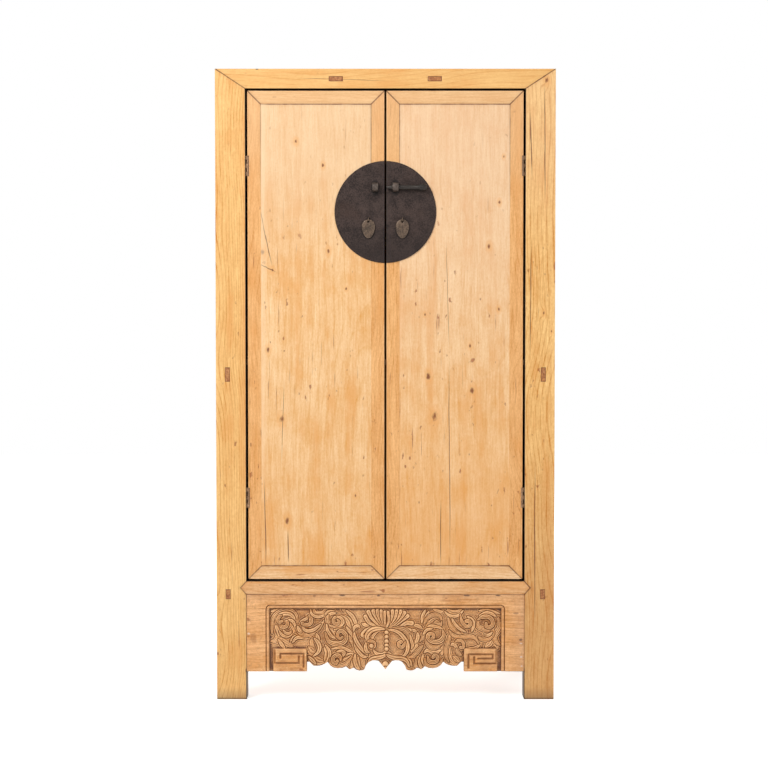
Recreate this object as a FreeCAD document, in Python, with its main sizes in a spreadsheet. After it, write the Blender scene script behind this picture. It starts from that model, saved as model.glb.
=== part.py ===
"""A two-door elm cabinet on square posts, with a round split face plate, a sliding bolt and a carved apron.

Millimetres. Origin on the floor under the middle of the cabinet, +X to the right, +Z up, doors facing -Y.
The left half is built board by board. The right half is its mirror image in the plane X = 0.
"""
import FreeCAD, Part
import os

from FreeCAD import Rotation, Vector

# Driving dimensions

SIZES = {
    "overall_width": 1020.0,
    "overall_height": 1900.0,
    "overall_depth": 540.0,
    # corner posts and the top frame that is mitred to them three ways
    "post_width": 90.0,
    "post_depth": 60.0,
    "top_rail_height": 59.0,
    "corner_tenon_side": 22.0,
    "corner_tenon_cover": 14.0,
    # rail under the doors, with its pointed shoulders
    "sill_height": 360.0,
    "sill_rail_height": 41.0,
    "sill_point_length": 18.0,
    "sill_point_depth": 16.0,
    "blind_tenon_length": 36.0,
    "blind_tenon_thickness": 18.0,
    "blind_tenon_shoulder": 5.0,
    # side and back rails
    "rail_thickness": 46.0,
    "rail_recess": 6.0,
    "middle_rail_centre": 985.0,
    "middle_rail_height": 55.0,
    "middle_tenon_height": 43.0,
    "bottom_rail_drop": 40.0,
    "bottom_rail_height": 44.0,
    "bottom_tenon_height": 30.0,
    "through_tenon_width": 15.0,
    "through_tenon_inset": 27.0,
    # carcass panels
    "panel_thickness": 12.0,
    "panel_recess": 12.0,
    "groove_depth": 8.0,
    "top_panel_thickness": 14.0,
    "top_panel_recess": 4.0,
    "top_batten_width": 54.0,
    "top_batten_height": 30.0,
    "top_batten_offset": 148.0,
    "top_tenon_width": 42.0,
    "top_tenon_height": 14.5,
    "top_tenon_drop": 30.0,
    "shelf_thickness": 18.0,
    "shelf_clearance": 0.5,
    # aprons
    "apron_bottom": 84.0,
    "apron_thickness": 26.0,
    "apron_recess": 2.0,
    "apron_tongue_thickness": 8.0,
    "scallop_rise": 33.0,
    "border_inset": 54.0,
    "border_drop": 32.0,
    "border_groove_width": 4.0,
    "border_groove_depth": 3.0,
    "side_apron_height": 80.0,
    "side_apron_thickness": 18.0,
    # doors
    "door_gap": 6.5,
    "door_end_gap": 6.5,
    "meeting_gap": 5.5,
    "door_thickness": 28.0,
    "door_recess": 2.0,
    "door_member_width": 40.0,
    "door_panel_thickness": 14.0,
    "door_tongue_thickness": 6.0,
    "door_tongue_depth": 8.0,
    "door_tenon_inset": 8.0,
    "door_tenon_thickness": 9.0,
    "door_batten_height": 36.0,
    "door_batten_thickness": 12.0,
    # butt hinges
    "hinge_length": 60.0,
    "upper_hinge_drop": 289.0,
    "lower_hinge_rise": 253.0,
    "leaf_width": 22.0,
    "leaf_thickness": 1.4,
    "knuckle_radius": 3.0,
    "knuckle_set_in": 1.0,
    "knuckle_clearance": 0.4,
    "knuckle_spacing": 0.3,
    "hinge_pin_radius": 1.5,
    "hinge_pin_play": 0.05,
    "screw_radius": 1.6,
    "screw_head_radius": 3.0,
    "screw_length": 15.0,
    "screw_line": 13.0,
    # round face plate, its bolt and its pulls
    "plate_radius": 152.5,
    "plate_thickness": 2.5,
    "plate_drop": 427.3,
    "collar_offset": 30.5,
    "collar_rise": 74.0,
    "collar_width": 17.0,
    "collar_strap": 4.5,
    "collar_play": 2.0,
    "tang_width": 7.0,
    "tang_thickness": 3.0,
    "clench_length": 11.0,
    "clench_thickness": 2.0,
    "bolt_radius": 7.0,
    "bolt_shank_length": 98.0,
    "bolt_nose_length": 12.0,
    "bolt_nose_radius": 4.0,
    "bolt_head_radius": 11.0,
    "bolt_head_length": 24.0,
    "bolt_head_clearance": 0.4,
    "bolt_tip_offset": 3.0,
    "bolt_lift": 1.0,
    "seat_gap": 0.3,
    "eye_offset": 51.0,
    "eye_drop": 22.3,
    "eye_radius": 5.0,
    "eye_wire_radius": 1.6,
    "eye_leg": 3.0,
    "eye_clench_length": 9.0,
    "pull_half_width": 18.0,
    "pull_shoulder_height": 22.0,
    "pull_tail_height": 34.0,
    "pull_thickness": 2.4,
    "pull_cheek": 20.0,
    "pull_hole_radius": 3.6,
    "pull_rim": 3.0,
    # every cutting tool runs this far past the wood that it cuts
    "overrun": 5.0,
}

HINGE_KNUCKLES = 5
SCREW_SHARES = (-1 / 3, 0, 1 / 3)
DOOR_BATTEN_SHARES = (0.17, 0.5, 0.87)

# The apron's lower edge from its middle to the inner end of the square block. Each row is a line or an arc's
# end, as shares of half the apron's length and of the scallop's rise. An arc's row also holds its midpoint.
APRON_TIP_SHARE = (0.0, 0.2)
APRON_EDGE_SHARES = (
    ((0.05, 0.95), None),
    ((0.142, 0.5), (0.095, 1.0)),
    ((0.153, 0.13), None),
    ((0.228, 0.31), (0.185, 0.05)),
    ((0.26, 0.155), None),
    ((0.285, 0.44), None),
    ((0.418, 0.87), (0.36, 0.27)),
    ((0.519, 0.5), (0.465, 0.53)),
    ((0.548, 0.86), None),
    ((0.567, 0.86), None),
)
APRON_BLOCK_SHARE = 0.567

doc = FreeCAD.newDocument("cabinet")
sheet = doc.addObject("Spreadsheet::Sheet", "sizes")
for line, (alias, number) in enumerate(SIZES.items(), start=1):
    sheet.set(f"A{line}", alias)
    sheet.set(f"B{line}", str(number))
    sheet.setAlias(f"B{line}", alias)
doc.recompute()


class Formula:
    """Arithmetic on cells of the sheet, kept as the text of an expression."""

    def __init__(self, text):
        self.text = text

    def joined(self, sign, other, other_first=False):
        other = other.text if isinstance(other, Formula) else repr(float(other))
        first, second = (other, self.text) if other_first else (self.text, other)
        return Formula(f"({first} {sign} {second})")

    def __add__(self, other):
        return self.joined("+", other)

    def __radd__(self, other):
        return self.joined("+", other, other_first=True)

    def __sub__(self, other):
        return self.joined("-", other)

    def __rsub__(self, other):
        return self.joined("-", other, other_first=True)

    def __mul__(self, other):
        return self.joined("*", other)

    def __rmul__(self, other):
        return self.joined("*", other, other_first=True)

    def __truediv__(self, other):
        return self.joined("/", other)

    def __neg__(self):
        return self.joined("*", -1)


class Sizes:
    """The sheet's cells by name, each as a formula."""

    def __getattr__(self, alias):
        if alias not in SIZES:
            raise AttributeError(alias)
        return Formula(f"sizes.{alias}")


size = Sizes()
ZERO = Formula("0")


def number(formula):
    """The value that a formula has now."""
    return float(sheet.evalExpression(formula.text))


# Places that several pieces share

half_width = size.overall_width / 2
collar_inner = size.bolt_radius + size.collar_play
collar_stand = 2 * collar_inner + size.collar_strap
proud = size.plate_thickness + collar_stand - size.door_recess
front = (proud - size.overall_depth) / 2
back = front + size.overall_depth
middle_y = (front + back) / 2
post_inner_x = size.post_width - half_width
post_back_y = front + size.post_depth
rear_post_y = back - size.post_depth
head_height = size.overall_height - size.top_rail_height
side_rail_x = size.rail_recess - half_width
side_panel_x = size.panel_recess - half_width
side_panel_inner_x = side_panel_x + size.panel_thickness
tenon_x = size.through_tenon_inset - half_width
middle_rail_top = size.middle_rail_centre + size.middle_rail_height / 2
middle_rail_bottom = size.middle_rail_centre - size.middle_rail_height / 2
bottom_rail_centre = size.sill_height - size.bottom_rail_drop
bottom_rail_top = bottom_rail_centre + size.bottom_rail_height / 2
bottom_rail_bottom = bottom_rail_centre - size.bottom_rail_height / 2
sill_bottom = size.sill_height - size.sill_rail_height
top_panel_top = size.overall_height - size.top_panel_recess
top_panel_bottom = top_panel_top - size.top_panel_thickness

door_front = front + size.door_recess
door_back = door_front + size.door_thickness
door_outer_x = post_inner_x + size.door_gap
door_inner_x = -size.meeting_gap / 2
door_bottom = size.sill_height + size.door_end_gap
door_top = head_height - size.door_end_gap
door_panel_back = door_front + size.door_panel_thickness

hinge_x = door_outer_x + size.knuckle_set_in
upper_hinge_z = size.overall_height - size.upper_hinge_drop
lower_hinge_z = size.sill_height + size.lower_hinge_rise
plate_z = size.overall_height - size.plate_drop
plate_front = door_front - size.plate_thickness
bolt_y = plate_front - collar_inner
collar_z = plate_z + size.collar_rise
bolt_z = collar_z - size.collar_play + size.bolt_lift
eye_y = plate_front - size.eye_leg
eye_z = plate_z - size.eye_drop

# Basic shapes

UP_FROM_FLOOR = Rotation(Vector(1, 0, 0), 90)
TOWARDS_LEFT = Rotation(Vector(0, 0, 1), 90)
TOWARDS_FRONT = Rotation(Vector(0, 0, 1), 180)
UPRIGHT_BAR = Rotation(Vector(1, 1, 1), 240)
ALONG_X = Rotation(Vector(0, 1, 0), 90)
ALONG_MINUS_X = Rotation(Vector(0, 1, 0), -90)
ALONG_Y = Rotation(Vector(1, 0, 0), -90)


def place(shape, at, turn=None):
    """Binds a shape's place to formulas, after an optional fixed turn."""
    if turn is not None:
        shape.Placement = FreeCAD.Placement(Vector(), turn)
    for axis, formula in zip("xyz", at):
        shape.setExpression(f"Placement.Base.{axis}", formula.text)
    return shape


def block(name, x, y, z):
    """A squared board. x, y and z are pairs of formulas, low then high."""
    box = doc.addObject("Part::Box", name)
    for side, (low, high) in zip(("Length", "Width", "Height"), (x, y, z)):
        box.setExpression(side, (high - low).text)
    return place(box, (x[0], y[0], z[0]))


def wedge(name, at, turn, **limits):
    """A wedge: a rectangle Xmin..Zmax at Ymin that runs into the rectangle X2min..Z2max at Ymax."""
    shape = doc.addObject("Part::Wedge", name)
    for limit, formula in limits.items():
        shape.setExpression(limit, formula.text)
    return place(shape, at, turn)


def cylinder(name, radius, length, at, turn=None):
    """A round bar that starts at a place and runs along the turned Z axis."""
    bar = doc.addObject("Part::Cylinder", name)
    bar.setExpression("Radius", radius.text)
    bar.setExpression("Height", length.text)
    return place(bar, at, turn)


def fuse(name, *shapes):
    """One solid from shapes that meet or overlap."""
    joined = doc.addObject("Part::MultiFuse", name)
    joined.Shapes = list(shapes)
    joined.Refine = True
    return joined


def cut(name, base, *tools):
    """The base without the tools, one after another."""
    for count, tool in enumerate(tools, start=1):
        step = doc.addObject("Part::Cut", name if count == len(tools) else f"{name}_step{count}")
        step.Base = base
        step.Tool = tool
        base = step
    return base


def group(name, *shapes):
    """Separate solids that share one name, such as a set of screws."""
    together = doc.addObject("Part::Compound", name)
    together.Links = list(shapes)
    return together


def mirrored(name, source, normal=Vector(1, 0, 0), through_y=None):
    """The mirror image in the plane X = 0, or in the plane Y = through_y."""
    image = doc.addObject("Part::Mirroring", name)
    image.Source = source
    image.Normal = normal
    if through_y is not None:
        image.setExpression("Base.y", through_y.text)
    return image


def front_to_back(name, source):
    """The mirror image that swaps the front and the back of the carcass."""
    return mirrored(name, source, normal=Vector(0, 1, 0), through_y=middle_y)


sub_parts = {}


def sub_part(label, shape):
    """Keeps a finished piece under the name that its file gets."""
    shape.Label = label
    sub_parts[label] = shape
    return shape


def with_right_twin(left_label, shape):
    """Keeps a left-hand piece and its right-hand mirror image."""
    right_label = left_label.replace("left", "right")
    sub_part(left_label, shape)
    return sub_part(right_label, mirrored(right_label, shape))


# Corner joint: post, front rail and side rail each end in a pyramid whose point is the outer top corner

def corner_tenon():
    """Square tenon on the front left post's top that locks both top rails."""
    side = size.corner_tenon_side
    x = (post_inner_x - side - size.corner_tenon_cover, post_inner_x - size.corner_tenon_cover)
    y = (post_back_y - side - size.corner_tenon_cover, post_back_y - size.corner_tenon_cover)
    return block("corner_tenon", x, y, (head_height, size.overall_height - size.corner_tenon_cover))


def post_blank(tenon):
    """Front left post before its mortises: a square stick with a pyramid and a tenon on top."""
    stick = block("post_stick", (-half_width, post_inner_x), (front, post_back_y), (ZERO, head_height))
    point = wedge(
        "post_point", (-half_width, front, head_height), UP_FROM_FLOOR,
        Xmin=ZERO, Xmax=size.post_width, Zmin=-size.post_depth, Zmax=ZERO,
        Ymin=ZERO, Ymax=size.top_rail_height,
        X2min=ZERO, X2max=ZERO, Z2min=ZERO, Z2max=ZERO,
    )
    return fuse("post_blank", stick, point, tenon)


def top_front_rail_blank():
    """Front rail of the top frame with a pyramid at each end."""
    bar = block(
        "top_front_bar", (post_inner_x, -post_inner_x), (front, post_back_y),
        (head_height, size.overall_height),
    )
    point = wedge(
        "top_front_point", (post_inner_x, front, size.overall_height), TOWARDS_LEFT,
        Xmin=ZERO, Xmax=size.post_depth, Zmin=-size.top_rail_height, Zmax=ZERO,
        Ymin=ZERO, Ymax=size.post_width,
        X2min=ZERO, X2max=ZERO, Z2min=ZERO, Z2max=ZERO,
    )
    return fuse("top_front_blank", bar, point, mirrored("top_front_other_point", point))


def top_left_rail_blank():
    """Left rail of the top frame with a pyramid at each end."""
    bar = block(
        "top_left_bar", (-half_width, post_inner_x), (post_back_y, rear_post_y),
        (head_height, size.overall_height),
    )
    point = wedge(
        "top_left_point", (-half_width, post_back_y, size.overall_height), TOWARDS_FRONT,
        Xmin=-size.post_width, Xmax=ZERO, Zmin=-size.top_rail_height, Zmax=ZERO,
        Ymin=ZERO, Ymax=size.post_depth,
        X2min=ZERO, X2max=ZERO, Z2min=ZERO, Z2max=ZERO,
    )
    return fuse("top_left_blank", bar, point, front_to_back("top_left_other_point", point))


# Carcass pieces

def sill_rail_blank():
    """Rail under the doors: flush with the posts, with pointed shoulders and a blind tenon at each end."""
    z = (sill_bottom, size.sill_height)
    bar = block("sill_bar", (post_inner_x, -post_inner_x), (front, post_back_y), z)
    point = wedge(
        "sill_point", (post_inner_x, front, size.sill_height), TOWARDS_LEFT,
        Xmin=ZERO, Xmax=size.sill_point_depth, Zmin=-size.sill_rail_height, Zmax=ZERO,
        Ymin=ZERO, Ymax=size.sill_point_length, X2min=ZERO, X2max=size.sill_point_depth,
        Z2min=-size.sill_rail_height / 2, Z2max=-size.sill_rail_height / 2,
    )
    tenon = blind_tenon("sill_tenon", front + size.sill_point_depth, z)
    return fuse(
        "sill_blank", bar, point, mirrored("sill_other_point", point),
        tenon, mirrored("sill_other_tenon", tenon),
    )


def blind_tenon(name, y, z):
    """Tenon that enters the left post from its inner face and stays hidden."""
    x = (post_inner_x - size.blind_tenon_length, post_inner_x)
    shoulder = size.blind_tenon_shoulder
    return block(name, x, (y, y + size.blind_tenon_thickness), (z[0] + shoulder, z[1] - shoulder))


def rear_rail_blank(name, z):
    """Back rail between the rear posts, with a blind tenon at each end."""
    y = (rear_post_y, back - size.rail_recess)
    bar = block(f"{name}_bar", (post_inner_x, -post_inner_x), y, z)
    tenon = blind_tenon(f"{name}_tenon", rear_post_y + size.blind_tenon_shoulder, z)
    return fuse(f"{name}_blank", bar, tenon, mirrored(f"{name}_other_tenon", tenon))


def side_rail_blank(name, centre, height, tenon_height):
    """Left rail between front and rear post. Its tenons go right through and show on the posts' faces."""
    bar = block(
        f"{name}_bar", (side_rail_x, side_rail_x + size.rail_thickness), (post_back_y, rear_post_y),
        (centre - height / 2, centre + height / 2),
    )
    tenon = block(
        f"{name}_tenon", (tenon_x, tenon_x + size.through_tenon_width), (front, back),
        (centre - tenon_height / 2, centre + tenon_height / 2),
    )
    return fuse(f"{name}_blank", bar, tenon)


def side_panel(name, low, high):
    """Left side panel, held in grooves of the posts and of the rails above and below it."""
    groove = size.groove_depth
    return block(
        name, (side_panel_x, side_panel_inner_x), (post_back_y - groove, rear_post_y + groove),
        (low - groove, high + groove),
    )


def back_panel(name, low, high):
    """Back panel, held in grooves of the rear posts and of the rails above and below it."""
    groove = size.groove_depth
    y = back - size.panel_recess
    return block(
        name, (post_inner_x - groove, groove - post_inner_x), (y - size.panel_thickness, y),
        (low - groove, high + groove),
    )


def top_panel():
    """Top panel, held in grooves of the top frame and set a little below it."""
    groove = size.groove_depth
    field = block(
        "top_field", (post_inner_x, -post_inner_x), (post_back_y, rear_post_y),
        (top_panel_bottom, top_panel_top),
    )
    tongue = block(
        "top_tongue", (post_inner_x - groove, groove - post_inner_x),
        (post_back_y - groove, rear_post_y + groove),
        (top_panel_bottom, top_panel_bottom + size.top_panel_thickness / 2),
    )
    return fuse("top_panel", field, tongue)


def top_batten():
    """Left batten under the top panel. Its tenons show on the front and back faces of the top frame."""
    x = -size.top_batten_offset
    z = size.overall_height - size.top_tenon_drop
    bar = block(
        "top_batten_bar", (x - size.top_batten_width / 2, x + size.top_batten_width / 2),
        (post_back_y, rear_post_y),
        (top_panel_bottom - size.top_batten_height, top_panel_bottom),
    )
    tenon = block(
        "top_batten_tenon", (x - size.top_tenon_width / 2, x + size.top_tenon_width / 2), (front, back),
        (z - size.top_tenon_height / 2, z + size.top_tenon_height / 2),
    )
    return fuse("top_left_batten", bar, tenon)


def floor_board():
    """Floor of the lower compartment, lying on the bottom side rails and level with the sill."""
    return block(
        "floor_board", (side_panel_inner_x, -side_panel_inner_x), (post_back_y, rear_post_y),
        (bottom_rail_top, size.sill_height),
    )


def shelf():
    """Shelf on the middle rails. Its front edge comes forward between the posts and stops the doors."""
    z = (middle_rail_top, middle_rail_top + size.shelf_thickness)
    board = block("shelf_board", (side_panel_inner_x, -side_panel_inner_x), (post_back_y, rear_post_y), z)
    lip = block(
        "shelf_lip", (post_inner_x, -post_inner_x), (door_back + size.shelf_clearance, post_back_y), z
    )
    return fuse("shelf", board, lip)


def apron_face():
    """Front face of the apron in the XZ plane, as a closed wire of lines and arcs."""
    half = number(-post_inner_x)
    low = number(size.apron_bottom)
    rise = number(size.scallop_rise)
    top = number(sill_bottom)
    y = number(front + size.apron_recess)

    def point(share, side):
        return Vector(side * share[0] * half, y, low + share[1] * rise)

    edges = []
    for side in (-1, 1):
        start = point(APRON_TIP_SHARE, side)
        for end_share, mid_share in APRON_EDGE_SHARES:
            end = point(end_share, side)
            if mid_share is None:
                edges.append(Part.LineSegment(start, end).toShape())
            else:
                edges.append(Part.Arc(start, point(mid_share, side), end).toShape())
            start = end
        corners = [point((APRON_BLOCK_SHARE, 0), side), point((1, 0), side), Vector(side * half, y, top)]
        for corner in corners:
            edges.append(Part.LineSegment(start, corner).toShape())
            start = corner
    edges.append(Part.LineSegment(Vector(-half, y, top), Vector(half, y, top)).toShape())
    return Part.Face(Part.Wire(Part.__sortEdges__(edges)))


def apron():
    """Carved apron's board: scalloped below, tongued into the posts and the sill, with a sunk border line."""
    board = doc.addObject("Part::Feature", "apron_board")
    board.Shape = apron_face().extrude(Vector(0, number(size.apron_thickness), 0))
    face_y = front + size.apron_recess
    tongue_y = face_y + size.apron_thickness / 2
    groove = size.groove_depth
    tongue = block(
        "apron_tongue", (post_inner_x - groove, groove - post_inner_x),
        (tongue_y, tongue_y + size.apron_tongue_thickness),
        (size.apron_bottom + size.scallop_rise, sill_bottom + groove),
    )
    line_x = post_inner_x + size.border_inset
    line_z = sill_bottom - size.border_drop
    sunk_y = (face_y - size.overrun, face_y + size.border_groove_depth)
    head_line = block(
        "border_head", (line_x, -line_x), sunk_y, (line_z - size.border_groove_width, line_z)
    )
    side_line = block(
        "border_side", (line_x, line_x + size.border_groove_width), sunk_y,
        (size.apron_bottom + size.scallop_rise, line_z),
    )
    return cut(
        "carved_apron", fuse("apron_blank", board, tongue), head_line, side_line,
        mirrored("border_other_side", side_line),
    )


def side_apron():
    """Plain left apron under the bottom side rail, let into both posts."""
    groove = size.groove_depth
    return block(
        "left_side_apron", (side_rail_x, side_rail_x + size.side_apron_thickness),
        (post_back_y - groove, rear_post_y + groove),
        (bottom_rail_bottom - size.side_apron_height, bottom_rail_bottom),
    )


# Hinges

def screw(name, head_x, y, z, turn):
    """Countersunk screw whose head fills the leaf's thickness."""
    head = doc.addObject("Part::Cone", f"{name}_head")
    head.setExpression("Radius1", size.screw_head_radius.text)
    head.setExpression("Radius2", size.screw_radius.text)
    head.setExpression("Height", size.leaf_thickness.text)
    place(head, (head_x, y, z), turn)
    shank = cylinder(f"{name}_shank", size.screw_radius, size.screw_length, (head_x, y, z), turn)
    return fuse(name, head, shank)


def hinge_screws(name, head_x, height, turn):
    """A row of screws up the middle of a leaf."""
    y = door_front + size.screw_line
    return [
        screw(f"{name}_screw{count}", head_x, y, height + share * size.hinge_length, turn)
        for count, share in enumerate(SCREW_SHARES, start=1)
    ]


def hinge_leaf(name, plate, arm_x, arm_y, knuckles, height, screws):
    """A leaf: a flat plate, and for each of its knuckles a barrel and the arm that carries it."""
    pitch = size.hinge_length / HINGE_KNUCKLES
    pieces = [plate]
    for count in knuckles:
        low = height - size.hinge_length / 2 + count * pitch + size.knuckle_spacing / 2
        length = pitch - size.knuckle_spacing
        pieces.append(
            cylinder(f"{name}_barrel{count}", size.knuckle_radius, length, (hinge_x, door_front, low))
        )
        pieces.append(block(f"{name}_arm{count}", arm_x, arm_y, (low, low + length)))
    bore = cylinder(
        f"{name}_bore", size.hinge_pin_radius + size.hinge_pin_play, size.hinge_length,
        (hinge_x, door_front, height - size.hinge_length / 2),
    )
    return cut(name, fuse(f"{name}_blank", *pieces), bore, *screws)


def left_hinge(level, height):
    """One butt hinge on the left: frame leaf, door leaf, pin, and both rows of screws."""
    z = (height - size.hinge_length / 2, height + size.hinge_length / 2)
    arm_y = (door_front + size.knuckle_radius - size.leaf_thickness, door_front + size.knuckle_radius)
    frame_screws = hinge_screws(
        f"left_{level}_frame", post_inner_x + size.leaf_thickness, height, ALONG_MINUS_X
    )
    door_screws = hinge_screws(f"left_{level}_door", door_outer_x - size.leaf_thickness, height, ALONG_X)
    frame_plate = block(
        f"left_{level}_frame_plate", (post_inner_x, post_inner_x + size.leaf_thickness),
        (arm_y[0], door_front + size.leaf_width), z,
    )
    frame_leaf = hinge_leaf(
        f"left_{level}_hinge_frame_leaf", frame_plate, (post_inner_x, hinge_x), arm_y,
        range(0, HINGE_KNUCKLES, 2), height, frame_screws,
    )
    door_leaf_x = (door_outer_x - size.leaf_thickness, door_outer_x)
    door_plate = block(
        f"left_{level}_door_plate", door_leaf_x,
        (arm_y[1] + size.knuckle_clearance, door_front + size.leaf_width), z,
    )
    door_leaf = hinge_leaf(
        f"left_{level}_hinge_door_leaf", door_plate, door_leaf_x,
        (door_front, arm_y[1] + size.knuckle_clearance), range(1, HINGE_KNUCKLES, 2), height, door_screws,
    )
    pin = cylinder(f"left_{level}_pin", size.hinge_pin_radius, size.hinge_length, (hinge_x, door_front, z[0]))
    return frame_leaf, door_leaf, pin, frame_screws, door_screws


def hinge_notch(level, height):
    """Notch in the door's edge that leaves room for the knuckles."""
    room = size.knuckle_radius + size.knuckle_clearance
    reach = size.hinge_length / 2 + size.knuckle_clearance
    return block(
        f"{level}_notch", (door_outer_x - size.overrun, hinge_x + room),
        (door_front - size.overrun, door_front + room), (height - reach, height + reach),
    )


# Door boards

door_height = door_top - door_bottom
door_width = door_inner_x - door_outer_x
member = size.door_member_width


def stile_blank(name, x, long_side_first):
    """Upright of a door's frame, mitred at both ends."""
    inner = (member, door_height - member)
    outer = (ZERO, door_height)
    first, last = (outer, inner) if long_side_first else (inner, outer)
    return wedge(
        name, (x, door_front, door_bottom), UPRIGHT_BAR,
        Xmin=first[0], Xmax=first[1], X2min=last[0], X2max=last[1], Ymin=ZERO, Ymax=member,
        Zmin=ZERO, Zmax=size.door_thickness, Z2min=ZERO, Z2max=size.door_thickness,
    )


def door_rail_blank(name, z, long_side_first):
    """Level member of a door's frame, mitred at both ends, with a tenon into each stile."""
    inner = (member, door_width - member)
    outer = (ZERO, door_width)
    first, last = (outer, inner) if long_side_first else (inner, outer)
    bar = wedge(
        f"{name}_bar", (door_outer_x, door_front, z), UP_FROM_FLOOR,
        Xmin=first[0], Xmax=first[1], X2min=last[0], X2max=last[1], Ymin=ZERO, Ymax=member,
        Zmin=-size.door_thickness, Zmax=ZERO, Z2min=-size.door_thickness, Z2max=ZERO,
    )
    tenon_y = door_panel_back - size.door_tenon_thickness / 2
    inset = size.door_tenon_inset
    hidden = size.door_tongue_depth
    low = z + (inset if long_side_first else hidden)
    high = z + member - (hidden if long_side_first else inset)
    tenons = [
        block(f"{name}_tenon{side}", x, (tenon_y, tenon_y + size.door_tenon_thickness), (low, high))
        for side, x in (
            ("a", (door_outer_x + inset, door_outer_x + member)),
            ("b", (door_inner_x - member, door_inner_x - inset)),
        )
    ]
    return fuse(f"{name}_blank", bar, *tenons), tenons


def door_panel_blank():
    """Panel that lies flush with the door's frame, with a thin tongue all round."""
    tongue = size.door_tongue_depth
    field_x = (door_outer_x + member, door_inner_x - member)
    field_z = (door_bottom + member, door_top - member)
    field = block("door_field", field_x, (door_front, door_panel_back), field_z)
    tongue_y = (door_panel_back - size.door_tongue_thickness) / 2 + door_front / 2
    rim = block(
        "door_rim", (field_x[0] - tongue, field_x[1] + tongue),
        (tongue_y, tongue_y + size.door_tongue_thickness),
        (field_z[0] - tongue, field_z[1] + tongue),
    )
    return fuse("door_panel_blank", field, rim)


def door_battens():
    """Battens across the back of the panel, tenoned into both stiles."""
    x = (door_outer_x + member - size.door_tongue_depth, door_inner_x - member + size.door_tongue_depth)
    y = (door_panel_back, door_panel_back + size.door_batten_thickness)
    battens = []
    for count, share in enumerate(DOOR_BATTEN_SHARES, start=1):
        z = door_bottom + share * door_height - size.door_batten_height / 2
        battens.append(block(f"door_batten{count}", x, y, (z, z + size.door_batten_height)))
    return group("left_door_battens", *battens)


# Face plate, bolt and pulls

def collar():
    """Left collar for the bolt: a strap bent round it, with tangs through plate and stile clenched behind."""
    inner = collar_inner
    outer = inner + size.collar_strap
    x = -size.collar_offset - size.collar_width / 2
    at = (x, bolt_y, collar_z)
    ring = cylinder("collar_ring", outer, size.collar_width, at, ALONG_X)
    legs = block(
        "collar_legs", (x, x + size.collar_width), (bolt_y, plate_front), (collar_z - outer, collar_z + outer)
    )
    ring_back = block(
        "collar_ring_back", (x - size.overrun, x + size.collar_width + size.overrun),
        (plate_front, bolt_y + outer + size.overrun), (collar_z - outer, collar_z + outer),
    )
    through = (x - size.overrun, bolt_y, collar_z)
    hole = cylinder("collar_hole", inner, size.collar_width + 2 * size.overrun, through, ALONG_X)
    slot = block(
        "collar_slot", (x - size.overrun, x + size.collar_width + size.overrun),
        (bolt_y, plate_front + size.overrun), (collar_z - inner, collar_z + inner),
    )
    strap = cut("collar_strap", fuse("collar_blank", ring, legs), ring_back, hole, slot)
    tangs = []
    for side, sign in (("upper", 1), ("lower", -1)):
        near = collar_z + sign * inner
        far = near + sign * size.tang_thickness
        bent = near + sign * size.clench_length
        tang_x = (-size.collar_offset - size.tang_width / 2, -size.collar_offset + size.tang_width / 2)
        low, high = (near, far) if sign > 0 else (far, near)
        tangs.append(
            block(f"collar_{side}_tang", tang_x, (plate_front, door_back + size.clench_thickness), (low, high))
        )
        low, high = (near, bent) if sign > 0 else (bent, near)
        tangs.append(
            block(f"collar_{side}_clench", tang_x, (door_back, door_back + size.clench_thickness), (low, high))
        )
    return fuse("left_bolt_collar", strap, *tangs)


def pull_eye():
    """Left eye for a pull: a wire loop out of the plate and back, both legs clenched behind the panel."""
    x = -size.eye_offset
    wire = size.eye_wire_radius
    loop = doc.addObject("Part::Torus", "eye_loop")
    loop.setExpression("Radius1", size.eye_radius.text)
    loop.setExpression("Radius2", wire.text)
    place(loop, (x, eye_y, eye_z), ALONG_X)
    reach = size.eye_radius + wire + size.overrun
    loop_back = block(
        "eye_loop_back", (x - reach, x + reach), (eye_y, eye_y + reach), (eye_z - reach, eye_z + reach)
    )
    pieces = [cut("eye_half_loop", loop, loop_back)]
    end_y = door_panel_back + wire
    for side, sign in (("upper", 1), ("lower", -1)):
        z = eye_z + sign * size.eye_radius
        leg = cylinder(f"eye_{side}_leg", wire, end_y - eye_y, (x, eye_y, z), ALONG_Y)
        bent_z = z if sign > 0 else z - size.eye_clench_length
        bent = block(
            f"eye_{side}_clench", (x - wire, x + wire), (door_panel_back, end_y),
            (bent_z, bent_z + size.eye_clench_length),
        )
        pieces += [leg, bent]
    return fuse("left_pull_eye", *pieces)


def face_plate(*fittings):
    """Left half of the round plate, slotted for the fittings that pin it to the door."""
    disc = cylinder(
        "plate_disc", size.plate_radius, size.plate_thickness, (ZERO, plate_front, plate_z), ALONG_Y
    )
    reach = size.plate_radius + size.overrun
    other_half = block(
        "plate_other_half", (door_inner_x, reach), (plate_front - size.overrun, door_front + size.overrun),
        (plate_z - reach, plate_z + reach),
    )
    return cut("left_face_plate", disc, other_half, *fittings)


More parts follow.
